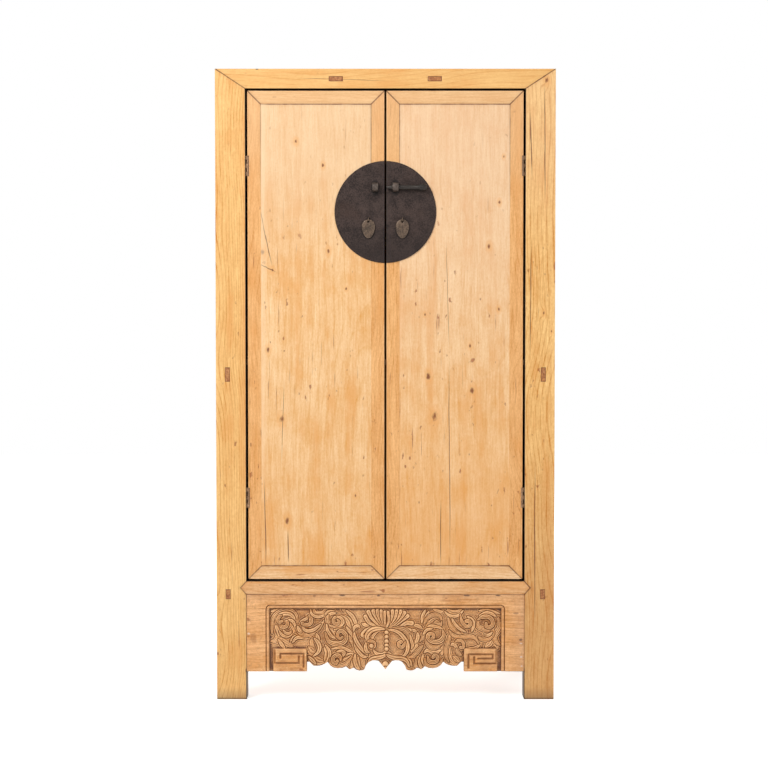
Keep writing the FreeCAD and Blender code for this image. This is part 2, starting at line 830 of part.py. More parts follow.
def bolt():
    """Bolt in the right collar, drawn clear of the left door, with a tapered nose and a flat-backed head."""
    x = size.bolt_tip_offset
    nose = doc.addObject("Part::Cone", "bolt_nose")
    nose.setExpression("Radius1", size.bolt_nose_radius.text)
    nose.setExpression("Radius2", size.bolt_radius.text)
    nose.setExpression("Height", size.bolt_nose_length.text)
    place(nose, (x, bolt_y, bolt_z), ALONG_X)
    shank_x = x + size.bolt_nose_length
    head_x = x + size.bolt_shank_length
    shank = cylinder("bolt_shank", size.bolt_radius, head_x - shank_x, (shank_x, bolt_y, bolt_z), ALONG_X)
    head_at = (head_x, bolt_y, bolt_z)
    head = cylinder("bolt_head", size.bolt_head_radius, size.bolt_head_length, head_at, ALONG_X)
    reach = size.bolt_head_radius + size.overrun
    flat = block(
        "bolt_flat", (head_x - size.overrun, head_x + size.bolt_head_length + size.overrun),
        (plate_front - size.bolt_head_clearance, bolt_y + reach), (bolt_z - reach, bolt_z + reach),
    )
    return cut("bolt", fuse("bolt_blank", nose, shank, head), flat)


def half_egg(name, height, x, widest_z, lower):
    """Upper or lower half of an egg, from its widest level to its end."""
    half = doc.addObject("Part::Ellipsoid", name)
    half.setExpression("Radius1", height.text)
    half.setExpression("Radius2", size.pull_half_width.text)
    half.setExpression("Radius3", size.pull_cheek.text)
    half.Angle1 = -90 if lower else 0
    half.Angle2 = 0 if lower else 90
    return place(half, (x, eye_y, widest_z))


def pull():
    """Left pull: a thin slice of an egg with its hole near the top, hanging on the eye."""
    x = -size.eye_offset
    hole_z = eye_z - size.eye_radius - size.pull_hole_radius + size.eye_wire_radius + size.seat_gap
    top_z = hole_z + size.pull_hole_radius + size.pull_rim
    widest_z = top_z - size.pull_shoulder_height
    shoulder = half_egg("pull_shoulder", size.pull_shoulder_height, x, widest_z, lower=False)
    tail = half_egg("pull_tail", size.pull_tail_height, x, widest_z, lower=True)
    y = (eye_y - size.pull_thickness / 2, eye_y + size.pull_thickness / 2)
    slice_z = (widest_z - size.pull_tail_height - size.overrun, top_z + size.overrun)
    reach = size.pull_half_width + size.overrun
    drop = doc.addObject("Part::Common", "pull_drop")
    drop.Base = fuse("pull_egg", shoulder, tail)
    drop.Tool = block("pull_slice", (x - reach, x + reach), y, slice_z)
    hole = cylinder(
        "pull_hole", size.pull_hole_radius, size.pull_thickness + 2 * size.overrun,
        (x, y[0] - size.overrun, hole_z), ALONG_Y,
    )
    return cut("left_pull", drop, hole)


# Hinges come first, because posts and stiles are drilled for their screws

upper = left_hinge("upper", upper_hinge_z)
lower = left_hinge("lower", lower_hinge_z)
upper_leaf, upper_door_leaf, upper_pin, upper_screws, upper_door_screws = upper
lower_leaf, lower_door_leaf, lower_pin, lower_screws, lower_door_screws = lower
with_right_twin("left_upper_hinge_frame_leaf", upper_leaf)
with_right_twin("left_lower_hinge_frame_leaf", lower_leaf)
with_right_twin("left_upper_hinge_door_leaf", upper_door_leaf)
with_right_twin("left_lower_hinge_door_leaf", lower_door_leaf)
left_pins = group("left_pins", upper_pin, lower_pin)
sub_part("hinge_pins", group("hinge_pins", upper_pin, lower_pin, mirrored("right_pins", left_pins)))
left_frame_screws = group("left_frame_screws", *upper_screws, *lower_screws)
right_frame_screws = mirrored("right_frame_screws", left_frame_screws)
sub_part(
    "frame_hinge_screws",
    group("frame_hinge_screws", *upper_screws, *lower_screws, right_frame_screws),
)
door_screws = upper_door_screws + lower_door_screws
with_right_twin("left_door_hinge_screws", group("left_door_hinge_screws", *door_screws))

# Carcass: panels and rails first, then each board is cut by what enters it

tenon = corner_tenon()
rear_tenon = front_to_back("rear_corner_tenon", tenon)
left_tenons = (tenon, rear_tenon)

upper_side = side_panel("left_upper_side_panel", middle_rail_top, head_height)
lower_side = side_panel("left_lower_side_panel", bottom_rail_top, middle_rail_bottom)
upper_back = back_panel("upper_back_panel", middle_rail_top, head_height)
lower_back = back_panel("lower_back_panel", size.sill_height, middle_rail_bottom)
with_right_twin("left_upper_side_panel", upper_side)
with_right_twin("left_lower_side_panel", lower_side)
sub_part("upper_back_panel", upper_back)
sub_part("lower_back_panel", lower_back)

crown = sub_part("top_panel", top_panel())
left_batten = top_batten()
right_batten = mirrored("top_right_batten", left_batten)
sub_part("top_battens", group("top_battens", left_batten, right_batten))

front_apron = sub_part("carved_apron", apron())
left_apron = side_apron()
sub_part("side_aprons", group("side_aprons", left_apron, mirrored("right_side_apron", left_apron)))

sill = sub_part("sill_rail", cut("sill_rail", sill_rail_blank(), front_apron))
rear_bottom_blank = rear_rail_blank("rear_bottom", (sill_bottom, size.sill_height))
rear_middle_blank = rear_rail_blank("rear_middle", (middle_rail_bottom, middle_rail_top))
rear_bottom = sub_part("rear_bottom_rail", cut("rear_bottom_rail", rear_bottom_blank, lower_back))
rear_middle = sub_part("rear_middle_rail", cut("rear_middle_rail", rear_middle_blank, upper_back, lower_back))
middle_blank = side_rail_blank(
    "left_middle", size.middle_rail_centre, size.middle_rail_height, size.middle_tenon_height
)
left_middle = cut("left_middle_rail", middle_blank, upper_side, lower_side)
bottom_blank = side_rail_blank(
    "left_bottom", bottom_rail_centre, size.bottom_rail_height, size.bottom_tenon_height
)
left_bottom = cut("left_bottom_rail", bottom_blank, lower_side)
with_right_twin("left_middle_rail", left_middle)
with_right_twin("left_bottom_rail", left_bottom)

blank = post_blank(tenon)
front_post = cut(
    "front_left_post", blank, sill, left_middle, left_bottom, upper_side, lower_side, front_apron, left_apron,
    *upper_screws, *lower_screws,
)
rear_post = cut(
    "rear_left_post", front_to_back("rear_post_blank", blank), rear_bottom, rear_middle,
    left_middle, left_bottom, upper_side, lower_side, upper_back, lower_back, left_apron,
)
with_right_twin("front_left_post", front_post)
with_right_twin("rear_left_post", rear_post)

top_front_blank = top_front_rail_blank()
right_tenons = [mirrored(f"right_corner_tenon{count}", one) for count, one in enumerate(left_tenons)]
sub_part(
    "top_front_rail",
    cut("top_front_rail", top_front_blank, crown, left_batten, right_batten, tenon, right_tenons[0]),
)
sub_part(
    "top_rear_rail",
    cut(
        "top_rear_rail", front_to_back("top_rear_blank", top_front_blank), crown, left_batten, right_batten,
        upper_back, rear_tenon, right_tenons[1],
    ),
)
with_right_twin("top_left_rail", cut("top_left_rail", top_left_rail_blank(), crown, upper_side, *left_tenons))

sub_part("floor_board", floor_board())
sub_part("shelf", shelf())

# Doors: fittings and panel first, then the frame that they enter

left_collar = collar()
left_eye = pull_eye()
with_right_twin("left_bolt_collar", left_collar)
with_right_twin("left_pull_eye", left_eye)
with_right_twin("left_face_plate", face_plate(left_collar, left_eye))
with_right_twin("left_pull", pull())
sub_part("bolt", bolt())

battens = door_battens()
panel_blank = door_panel_blank()
with_right_twin("left_door_battens", battens)
with_right_twin("left_door_panel", cut("left_door_panel", panel_blank, left_eye))
top_blank, top_tenons = door_rail_blank("left_door_top", door_top - member, long_side_first=False)
low_blank, low_tenons = door_rail_blank("left_door_low", door_bottom, long_side_first=True)
with_right_twin("left_door_top_rail", cut("left_door_top_rail", top_blank, panel_blank))
with_right_twin("left_door_bottom_rail", cut("left_door_bottom_rail", low_blank, panel_blank))
door_tenons = top_tenons + low_tenons
upper_notch = hinge_notch("upper", upper_hinge_z)
lower_notch = hinge_notch("lower", lower_hinge_z)
hinge_stile = cut(
    "left_hinge_stile", stile_blank("hinge_stile_blank", door_outer_x, long_side_first=True),
    panel_blank, battens, *door_tenons, upper_notch, lower_notch, *door_screws,
)
with_right_twin("left_hinge_stile", hinge_stile)
meeting_stile = cut(
    "left_meeting_stile", stile_blank("meeting_stile_blank", door_inner_x - member, long_side_first=False),
    panel_blank, battens, *door_tenons, left_collar,
)
with_right_twin("left_meeting_stile", meeting_stile)

# Check every object, then write one file for each piece

doc.recompute()
for thing in doc.Objects:
    if {"Invalid", "Error"} & set(thing.State):
        raise RuntimeError(f"{thing.Label} did not recompute: {thing.State}")
os.makedirs("parts", exist_ok=True)
for label, piece in sub_parts.items():
    if piece.Shape.isNull() or not piece.Shape.isValid() or not piece.Shape.Solids:
        raise RuntimeError(f"{label} has no valid solid")
    piece.Shape.exportStep(f"parts/{label}.step")
    print(label, len(piece.Shape.Solids), "solid(s)", round(piece.Shape.Volume), "mm3")
print(len(sub_parts), "pieces")
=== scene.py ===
# %% [markdown]
# A tall elm cabinet, dressed for its portrait
#
# The joints, sizes and moving parts of the cabinet come from a packed model, which we load as a fixed frame.
# Everything in this lesson is about looks: wood, iron, bronze and a carved apron. The packed boards already
# have the right shape, so they stay, and get softened edges and a finish that is worked out from nodes. Only the
# apron, the bolt, the pulls and the lips of the bolt's collars are made anew, as surfaces worked out with numpy.

# %% Load the frame
import math

import bpy
import numpy as np
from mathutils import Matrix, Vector


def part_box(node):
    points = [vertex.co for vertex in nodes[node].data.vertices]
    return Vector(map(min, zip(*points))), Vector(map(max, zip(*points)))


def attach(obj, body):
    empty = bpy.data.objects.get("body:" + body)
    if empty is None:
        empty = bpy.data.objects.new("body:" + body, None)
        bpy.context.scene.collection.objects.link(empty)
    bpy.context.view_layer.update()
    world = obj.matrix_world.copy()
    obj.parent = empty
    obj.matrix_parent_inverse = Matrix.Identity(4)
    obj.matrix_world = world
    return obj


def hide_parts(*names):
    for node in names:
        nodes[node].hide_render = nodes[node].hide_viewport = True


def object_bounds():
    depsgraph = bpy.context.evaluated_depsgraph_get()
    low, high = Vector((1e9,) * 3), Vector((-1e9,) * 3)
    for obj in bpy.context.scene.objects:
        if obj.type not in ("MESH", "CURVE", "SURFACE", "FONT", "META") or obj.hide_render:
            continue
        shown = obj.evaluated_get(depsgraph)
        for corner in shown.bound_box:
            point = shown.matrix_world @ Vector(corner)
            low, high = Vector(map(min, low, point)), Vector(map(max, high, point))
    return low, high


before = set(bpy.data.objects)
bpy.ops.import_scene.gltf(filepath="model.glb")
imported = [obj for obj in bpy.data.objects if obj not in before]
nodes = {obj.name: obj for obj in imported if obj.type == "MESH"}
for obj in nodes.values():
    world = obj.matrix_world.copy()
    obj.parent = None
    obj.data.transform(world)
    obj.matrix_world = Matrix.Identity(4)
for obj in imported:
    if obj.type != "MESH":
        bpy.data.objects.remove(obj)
cad_box = [list(corner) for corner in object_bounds()]
print("boards and fittings:", len(nodes), "box:", cad_box)

# %% [markdown]
# The camera stands about five metres in front of the doors, a little above the middle, and looks slightly
# down. The cabinet's top is then a hair wider than its feet, as in the photograph. The numbers come from
# fitting the four corners of the front face.

# %% Camera
FITTINGS_PROUD = 0.023
FRONT = cad_box[0][1] + FITTINGS_PROUD
CAMERA_DISTANCE = 5.0
CAMERA_HEIGHT = 1.1412
CAMERA_SIDE = -0.0041
CAMERA_PITCH = 0.03692
CAMERA_LENS = 77.904

camera_data = bpy.data.cameras.new("portrait_camera")
camera_data.lens = CAMERA_LENS
camera_data.sensor_width = 36.0
camera_data.clip_end = 60.0
camera = bpy.data.objects.new("portrait_camera", camera_data)
camera.location = (CAMERA_SIDE, FRONT - CAMERA_DISTANCE, CAMERA_HEIGHT)
camera.rotation_euler = (math.pi / 2 - CAMERA_PITCH, 0.0, 0.0)
scene = bpy.context.scene
scene.collection.objects.link(camera)
scene.camera = camera
print("camera at", tuple(camera.location), "front face at", round(FRONT, 4))

# %% [markdown]
# The cabinet was photographed on white under soft light that comes mostly from the upper left. A large area
# lamp does that, a weaker one fills the right side, a third lights the back, and the world adds an even glow. What
# the camera sees of the world, also in a reflection, is pure white, through the Light Path node. So the background
# is white without more light on the wood.

# %% Light
WORLD_GLOW = 0.40
PURE_WHITE = (1.0, 1.0, 1.0, 1.0)
scene.view_settings.view_transform = "Standard"


def seen_directly(tree):
    """Socket that is 1 for what the camera sees, also in metal or through glass, and 0 for light that only bounces.

    It is the largest of the Light Path node's camera, glossy and transmission outputs.
    """
    rays = tree.nodes.new("ShaderNodeLightPath")
    seen = rays.outputs["Is Camera Ray"]
    for kind in ("Is Glossy Ray", "Is Transmission Ray"):
        larger = tree.nodes.new("ShaderNodeMath")
        larger.operation = "MAXIMUM"
        tree.links.new(seen, larger.inputs[0])
        tree.links.new(rays.outputs[kind], larger.inputs[1])
        seen = larger.outputs[0]
    return seen


world = bpy.data.worlds.new("studio")
scene.world = world
world.use_nodes = True
world_nodes, world_links = world.node_tree.nodes, world.node_tree.links
world_nodes.clear()
glow = world_nodes.new("ShaderNodeBackground")
glow.inputs["Color"].default_value = (1.0, 0.985, 0.965, 1.0)
glow.inputs["Strength"].default_value = WORLD_GLOW
white = world_nodes.new("ShaderNodeBackground")
white.inputs["Color"].default_value = PURE_WHITE
choose = world_nodes.new("ShaderNodeMixShader")
world_out = world_nodes.new("ShaderNodeOutputWorld")
world_links.new(seen_directly(world.node_tree), choose.inputs[0])
world_links.new(glow.outputs[0], choose.inputs[1])
world_links.new(white.outputs[0], choose.inputs[2])
world_links.new(choose.outputs[0], world_out.inputs[0])


def soft_lamp(name, place, aim, size, power, colour):
    """A square area lamp that looks from a place towards a point."""
    data = bpy.data.lights.new(name, "AREA")
    data.shape = "SQUARE"
    data.size = size
    data.energy = power
    data.color = colour
    lamp = bpy.data.objects.new(name, data)
    lamp.location = place
    lamp.rotation_euler = (Vector(aim) - Vector(place)).to_track_quat("-Z", "Y").to_euler()
    scene.collection.objects.link(lamp)


soft_lamp("key_lamp", (-2.5, -3.2, 3.7), (0.0, 0.0, 1.25), size=2.0, power=150.0, colour=(1.0, 0.985, 0.96))
soft_lamp("fill_lamp", (3.4, -3.2, 2.0), (0.0, 0.0, 1.0), size=2.6, power=30.0, colour=(1.0, 0.99, 0.98))
soft_lamp("back_lamp", (1.5, 4.0, 3.5), (0.0, 0.0, 1.0), size=2.6, power=90.0, colour=(1.0, 0.99, 0.98))

# %% [markdown]
# The floor is a large sheet of pale paper. It takes the cabinet's soft shadow like any paper. To the camera, and
# in reflections, it also glows a little, so that away from the shadow it melts into the white background.

# %% Floor
FLOOR_HALF = 9.0
FLOOR_GLOW = 0.66


def floor_sheet():
    """Level square at height zero, whose corners lie half its side from the middle both ways."""
    corners = FLOOR_HALF * np.array([[-1.0, -1.0, 0.0], [1.0, -1.0, 0.0], [1.0, 1.0, 0.0], [-1.0, 1.0, 0.0]])
    mesh = bpy.data.meshes.new("floor_sheet")
    mesh.from_pydata(corners.tolist(), [], [(0, 1, 2, 3)])
    sheet = bpy.data.objects.new("floor_sheet", mesh)
    scene.collection.objects.link(sheet)
    return sheet


floor = floor_sheet()
floor_finish = bpy.data.materials.new("white_paper")
floor_finish.use_nodes = True
paper_tree = floor_finish.node_tree
paper = paper_tree.nodes["Principled BSDF"]
paper.inputs["Base Color"].default_value = (0.78, 0.78, 0.78, 1.0)
paper.inputs["Roughness"].default_value = 0.9
paper.inputs["Emission Color"].default_value = PURE_WHITE
paper_lift = paper_tree.nodes.new("ShaderNodeMath")
paper_lift.operation = "MULTIPLY"
paper_lift.inputs[1].default_value = FLOOR_GLOW
paper_tree.links.new(seen_directly(paper_tree), paper_lift.inputs[0])
paper_tree.links.new(paper_lift.outputs[0], paper.inputs["Emission Strength"])
floor.data.materials.append(floor_finish)
print("floor sheet:", 2 * FLOOR_HALF, "m wide")

# %% [markdown]
# Finishes are graphs of nodes, and a graph is easier to read when a short helper hides the wiring. The class
# below keeps one material's tree. Most methods add one node, link what they are given, and return the socket
# that carries the result, so a formula can be written almost as on paper.

# %% Helper for finishes


def srgb(red, green, blue):
    """Screen colour from 0 to 255, as the linear colour that shaders use."""
    screen = np.array([red, green, blue]) / 255.0
    linear = np.where(screen <= 0.04045, screen / 12.92, ((screen + 0.055) / 1.055) ** 2.4)
    return (*linear.tolist(), 1.0)


class Finish:
    """One material and the nodes that make it."""

    def __init__(self, name, roughness=0.5, metallic=0.0):
        self.material = bpy.data.materials.new(name)
        self.material.use_nodes = True
        self.tree = self.material.node_tree
        self.shader = self.tree.nodes["Principled BSDF"]
        self.shader.inputs["Roughness"].default_value = roughness
        self.shader.inputs["Metallic"].default_value = metallic

    def put(self, socket, value):
        """Links an output to an input, or writes a plain value there."""
        if isinstance(value, bpy.types.NodeSocket):
            self.tree.links.new(value, socket)
        else:
            socket.default_value = value

    def place(self):
        """Object coordinates, which on these pieces are metres in the cabinet's own frame."""
        return self.tree.nodes.new("ShaderNodeTexCoord").outputs["Object"]

    def mark(self, name):
        """A number that the piece's own mesh carries at each point."""
        node = self.tree.nodes.new("ShaderNodeAttribute")
        node.attribute_name = name
        return node.outputs["Fac"]

    def split(self, vector):
        node = self.tree.nodes.new("ShaderNodeSeparateXYZ")
        self.put(node.inputs[0], vector)
        return node.outputs["X"], node.outputs["Y"], node.outputs["Z"]

    def join(self, x, y, z):
        node = self.tree.nodes.new("ShaderNodeCombineXYZ")
        for socket, value in zip(node.inputs, (x, y, z)):
            self.put(socket, value)
        return node.outputs[0]

    def math(self, operation, first, second=0.0):
        node = self.tree.nodes.new("ShaderNodeMath")
        node.operation = operation
        self.put(node.inputs[0], first)
        self.put(node.inputs[1], second)
        return node.outputs[0]

    def add(self, *terms):
        total = terms[0]
        for term in terms[1:]:
            total = self.math("ADD", total, term)
        return total

    def times(self, first, second):
        return self.math("MULTIPLY", first, second)

    def swing(self, value, reach):
        """A noise from 0 to 1, made to run about zero with the given reach."""
        return self.times(self.math("SUBTRACT", value, 0.5), reach)

    def limit(self, value, low, high):
        return self.math("MINIMUM", self.math("MAXIMUM", value, low), high)

    def length(self, first, second):
        return self.math("SQRT", self.add(self.times(first, first), self.times(second, second)))

    def oval(self, across, along, middle_across, middle_along, half_across, half_along):
        """Distance from the middle of an oval, which is 1 on its outline."""
        gap_across = self.times(self.add(across, -middle_across), 1.0 / half_across)
        gap_along = self.times(self.add(along, -middle_along), 1.0 / half_along)
        return self.length(gap_across, gap_along)

    def fade(self, value, low, high, at_low=0.0, at_high=1.0):
        """Smooth step of a value from at_low to at_high between two limits."""
        node = self.tree.nodes.new("ShaderNodeMapRange")
        node.interpolation_type = "SMOOTHSTEP"
        for key, number in (("From Min", low), ("From Max", high), ("To Min", at_low), ("To Max", at_high)):
            self.put(node.inputs[key], number)
        self.put(node.inputs["Value"], value)
        return node.outputs[0]

    def noise(self, vector, scale, detail=3.0, roughness=0.55):
        node = self.tree.nodes.new("ShaderNodeTexNoise")
        self.put(node.inputs["Vector"], vector)
        node.inputs["Scale"].default_value = scale
        node.inputs["Detail"].default_value = detail
        node.inputs["Roughness"].default_value = roughness
        return node.outputs["Fac"]

    def mix(self, share, first, second, beyond=False):
        """Share of the second colour over the first; beyond lets the share leave the range from 0 to 1."""
        node = self.tree.nodes.new("ShaderNodeMix")
        node.data_type = "RGBA"
        node.clamp_factor = not beyond
        self.put(node.inputs["Factor"], share)
        self.put(node.inputs[6], first)
        self.put(node.inputs[7], second)
        return node.outputs[2]

    def bump(self, height, strength, depth):
        node = self.tree.nodes.new("ShaderNodeBump")
        node.inputs["Strength"].default_value = strength
        node.inputs["Distance"].default_value = depth
        self.put(node.inputs["Height"], height)
        self.put(self.shader.inputs["Normal"], node.outputs[0])

    def done(self, colour, roughness):
        """Puts colour and roughness on the shader, and gives the finished material."""
        self.put(self.shader.inputs["Base Color"], colour)
        self.put(self.shader.inputs["Roughness"], roughness)
        return self.material


print("helper ready:", Finish.__doc__)

# %% [markdown]
# Elm is a ring-porous wood with long open pores. A board cut from a log shows its growth rings as lines, and
# where the cut passes near the heart they close into tall arches. So we let the rings be what they are: the
# distance from a wandering heart line, cut into bands. Each knot pushes the rings aside around itself, and has a dark
# ragged middle in an amber halo. A check is a thin dark split along the grain.

# %% Knots and checks
KNOT_BROWN, MARK_BROWN, SEAM_BROWN = srgb(112, 52, 16), srgb(142, 60, 14), srgb(98, 46, 16)
AMBER, END_BROWN = srgb(233, 165, 92), srgb(138, 74, 38)
KNOT_WIDE_TO_LONG = 0.6


def knot_marks(finish, across, along, reach, ragged, knots):
    """Rings pushed outwards by knots (across, along, radius), and the strengths of the dark middles and the halos.

    A knot is an oval along the grain. Its middle fades out at its outline, which a noise makes ragged, its halo at
    about three times that, and its push on the rings at four and a half times.
    """
    spot, halo = 0.0, 0.0
    for knot_across, knot_along, radius in knots:
        away = finish.oval(across, along, knot_across, knot_along, radius, radius / KNOT_WIDE_TO_LONG)
        reach = finish.add(reach, finish.fade(away, 0.0, 4.5, radius * 1.8, 0.0))
        torn = finish.add(away, ragged)
        spot = finish.math("MAXIMUM", spot, finish.fade(torn, 0.2, 1.05, 0.9, 0.0))
        halo = finish.math("MAXIMUM", halo, finish.fade(away, 0.8, 3.2, 0.45, 0.0))
    return reach, spot, halo


def check_lines(finish, across, along, streak, broad, checks):
    """Strength of the splits (across, low, high, half width, slant): distance from a leaning line with faded ends."""
    split = 0.0
    for check_across, low, high, half, slant in checks:
        middle = (low + high) / 2
        lean = finish.times(finish.add(along, -middle), slant)
        off = finish.add(across, -check_across, lean, finish.swing(streak, half * 3.0), finish.swing(broad, 0.010))
        thin = finish.fade(finish.math("ABSOLUTE", off), half * 0.3, half, 1.0, 0.0)
        taper = 0.3 * (high - low)
        ends = finish.times(finish.fade(along, low, low + taper), finish.fade(along, high - taper, high, 1.0, 0.0))
        split = finish.math("MAXIMUM", split, finish.times(thin, ends))
    return split


print("helpers for knots and checks ready")

# %% [markdown]
# The grain itself is noise drawn out along the board. Long thin noise gives the pores, broad noise the cloudy shifts
# of colour, and the peaks of two more noises are small dark dots and short cracks. A wash by height paints light and
# shade: the board grows paler towards the top and deeper in colour towards the bottom. It lies under the dots, so
# that they stay crisp.

# %% Elm
# For grain along each axis, which of x, y and z (0, 1 and 2) run across, through and along the board.
GRAIN_ORDER = {"z": (0, 1, 2), "x": (2, 1, 0), "y": (0, 2, 1)}


def elm_colour(finish, grain, pale, deep, heart, ring, seed, lines, clouds, flecks, knots=(), checks=(), light_by_height=()):
    """Colour, height, pores and place of elm with its grain along one axis.

    Rings: distance from the heart line (across, through), which wanders along the grain, divided by the ring width;
    the fraction of that runs from pale to deep. lines, clouds and flecks are the strengths of the rings, the broad
    shifts of colour and the fine grain. The last argument gives (from height, to height, strength, colour): painted
    light that makes the board paler towards the top, and painted shade that makes it deeper towards the bottom.
    """
    place = finish.split(finish.place())
    rise = place[2]
    across, through, along = (place[i] for i in GRAIN_ORDER[grain])
    moved = finish.add(across, seed)

    def fleck(scale, shortness, detail=3.0, roughness=0.6):
        """Noise drawn out along the grain, the longer the smaller its shortness."""
        return finish.noise(finish.join(moved, through, finish.times(along, shortness)), scale, detail, roughness)

    def wander(first, second, shortness, reach):
        """A slow shift to and fro along the grain."""
        return finish.swing(finish.noise(finish.join(first, second, finish.times(along, shortness)), 2.0, 1.0), reach)

    drift = finish.noise(finish.join(moved, finish.add(through, seed * 0.7), finish.times(along, 0.2)), 5.0, 2.0)
    side = finish.add(across, wander(seed * 1.3, seed, 0.9, 0.10), -heart[0])
    below = finish.add(through, wander(seed, seed * 2.1, 0.8, 0.12), -heart[1])
    reach = finish.add(finish.length(side, below), finish.swing(drift, 0.035))
    ragged = finish.swing(fleck(95.0, 0.5), 1.8) if knots else 0.0
    reach, spot, halo = knot_marks(finish, across, along, reach, ragged, knots)
    band = finish.math("FRACT", finish.times(reach, 1.0 / ring))
    late = finish.times(finish.fade(band, 0.70, 0.96), finish.fade(band, 1.0, 0.97))

    # The tone runs from pale to deep, and a little beyond both.
    pores = fleck(400.0, 0.05, 4.0, 0.65)
    fibre = fleck(190.0, 0.08)
    streak = fleck(85.0, 0.05)
    broad = fleck(28.0, 0.05)
    cloud = fleck(13.0, 0.7, 5.0, 0.62)
    speck = fleck(230.0, 0.5, 3.0, 0.7)
    patchy = finish.times(late, finish.fade(streak, 0.3, 0.65, 0.35, 1.0))
    tone = finish.add(
        finish.times(patchy, lines), finish.swing(pores, 1.2 * flecks), finish.swing(fibre, 0.8 * flecks),
        finish.swing(streak, 0.6 * flecks), finish.swing(broad, 0.9), finish.swing(cloud, 2.0 * clouds),
        finish.swing(speck, 1.1 * flecks), 0.40 - 0.1 * lines,
    )
    colour = finish.mix(finish.limit(tone, -0.35, 1.5), pale, deep, beyond=True)
    glow_share = finish.fade(finish.add(broad, finish.swing(cloud, 0.8)), 0.5, 0.75, 0.0, 0.45)
    colour = finish.mix(glow_share, colour, AMBER)
    # Painted light and shade by height: paler towards the top, deeper towards the bottom.
    for low, high, strength, lighting_colour in light_by_height:
        colour = finish.mix(finish.fade(rise, low, high, 0.0, strength), colour, lighting_colour)

    # Dots and short cracks crowd together in places, and are fewer high up.
    crowd = finish.swing(finish.noise(finish.join(moved, through, along), 5.0, 2.0), 0.25)
    dots = finish.add(fleck(75.0, 0.5, 2.0, 0.5), crowd)
    cracks = finish.add(fleck(150.0, 0.06, 2.0, 0.5), crowd)
    fewer = finish.fade(rise, 1.2, 1.6, 1.0, 0.4)
    colour = finish.mix(finish.times(finish.fade(dots, 0.685, 0.78, 0.0, 0.7), fewer), colour, MARK_BROWN)
    colour = finish.mix(finish.times(finish.fade(cracks, 0.68, 0.80, 0.0, 0.6), fewer), colour, MARK_BROWN)
    if knots:
        colour = finish.mix(halo, colour, AMBER)
        colour = finish.mix(spot, colour, KNOT_BROWN)
    split = check_lines(finish, across, along, streak, broad, checks)
    if checks:
        colour = finish.mix(finish.times(split, 0.85), colour, SEAM_BROWN)
    height = finish.math("SUBTRACT", finish.times(pores, 0.6), finish.add(finish.times(late, 0.3), split))
    return colour, height, pores, place


print("elm ready, grain along", sorted(GRAIN_ORDER))

# %% [markdown]
# A board in use is more than its grain. Dirt gathers where boards meet, so a seam is a thin dark line with a faint
# stain beside it. Bleaching, foot marks and the painted shade of the gaps are laid on alike, as colours that fade in
# along one or more directions. Where a rail's tenon comes through a post, its end grain has drunk in dirt, and a thin
# line shows around it.

# %% Elm boards
LONG_SEAM = 1.0


def seam_stain(finish, x, z, seam):
    """Dirt beside a seam (x, z, x, z): the distance to that line gives a thin dark core and a faint broad stain.

    The long upright seams of a door panel show only towards their tops.
    """
    x0, z0, x1, z1 = seam
    run_x, run_z = x1 - x0, z1 - z0
    run_square = run_x**2 + run_z**2
    from_x, from_z = finish.add(x, -x0), finish.add(z, -z0)
    share = finish.add(finish.times(from_x, run_x / run_square), finish.times(from_z, run_z / run_square))
    share = finish.limit(share, 0.0, 1.0)
    off = finish.length(
        finish.math("SUBTRACT", from_x, finish.times(share, run_x)),
        finish.math("SUBTRACT", from_z, finish.times(share, run_z)),
    )
    stain = finish.add(finish.fade(off, 0.0007, 0.0024, 0.8, 0.0), finish.fade(off, 0.0, 0.012, 0.12, 0.0))
    if run_x == 0.0 and run_square > LONG_SEAM**2:
        stain = finish.times(stain, finish.fade(z, 1.35, 1.75, 0.0, 0.7))
    return stain


def tenon_ends(finish, colour, x_size, y, z, tenons):
    """Colour with dark end grain on tenons (side, height, half width, half height), and a thin line around each."""
    front_end = finish.fade(y, FRONT + 0.0008, FRONT + 0.0016, 1.0, 0.0)
    back_end = finish.fade(y, cad_box[1][1] - 0.0016, cad_box[1][1] - 0.0008)
    at_end = finish.add(front_end, back_end)
    mottle = finish.fade(finish.noise(finish.place(), 150.0, 4.0, 0.7), 0.35, 0.65, 0.45, 0.95)
    colour = finish.mix(finish.times(at_end, mottle), colour, END_BROWN)
    for side, rise, half_wide, half_high in tenons:
        off_side = finish.math("ABSOLUTE", finish.add(x_size, -side))
        off_rise = finish.math("ABSOLUTE", finish.add(z, -rise))
        rim = finish.math(
            "MAXIMUM", finish.add(off_side, 0.001 - half_wide), finish.add(off_rise, 0.001 - half_high)
        )
        line = finish.times(finish.fade(rim, -0.0014, 0.0002), finish.fade(rim, 0.0022, 0.0012))
        colour = finish.mix(finish.times(finish.times(line, at_end), 0.9), colour, SEAM_BROWN)
    return colour


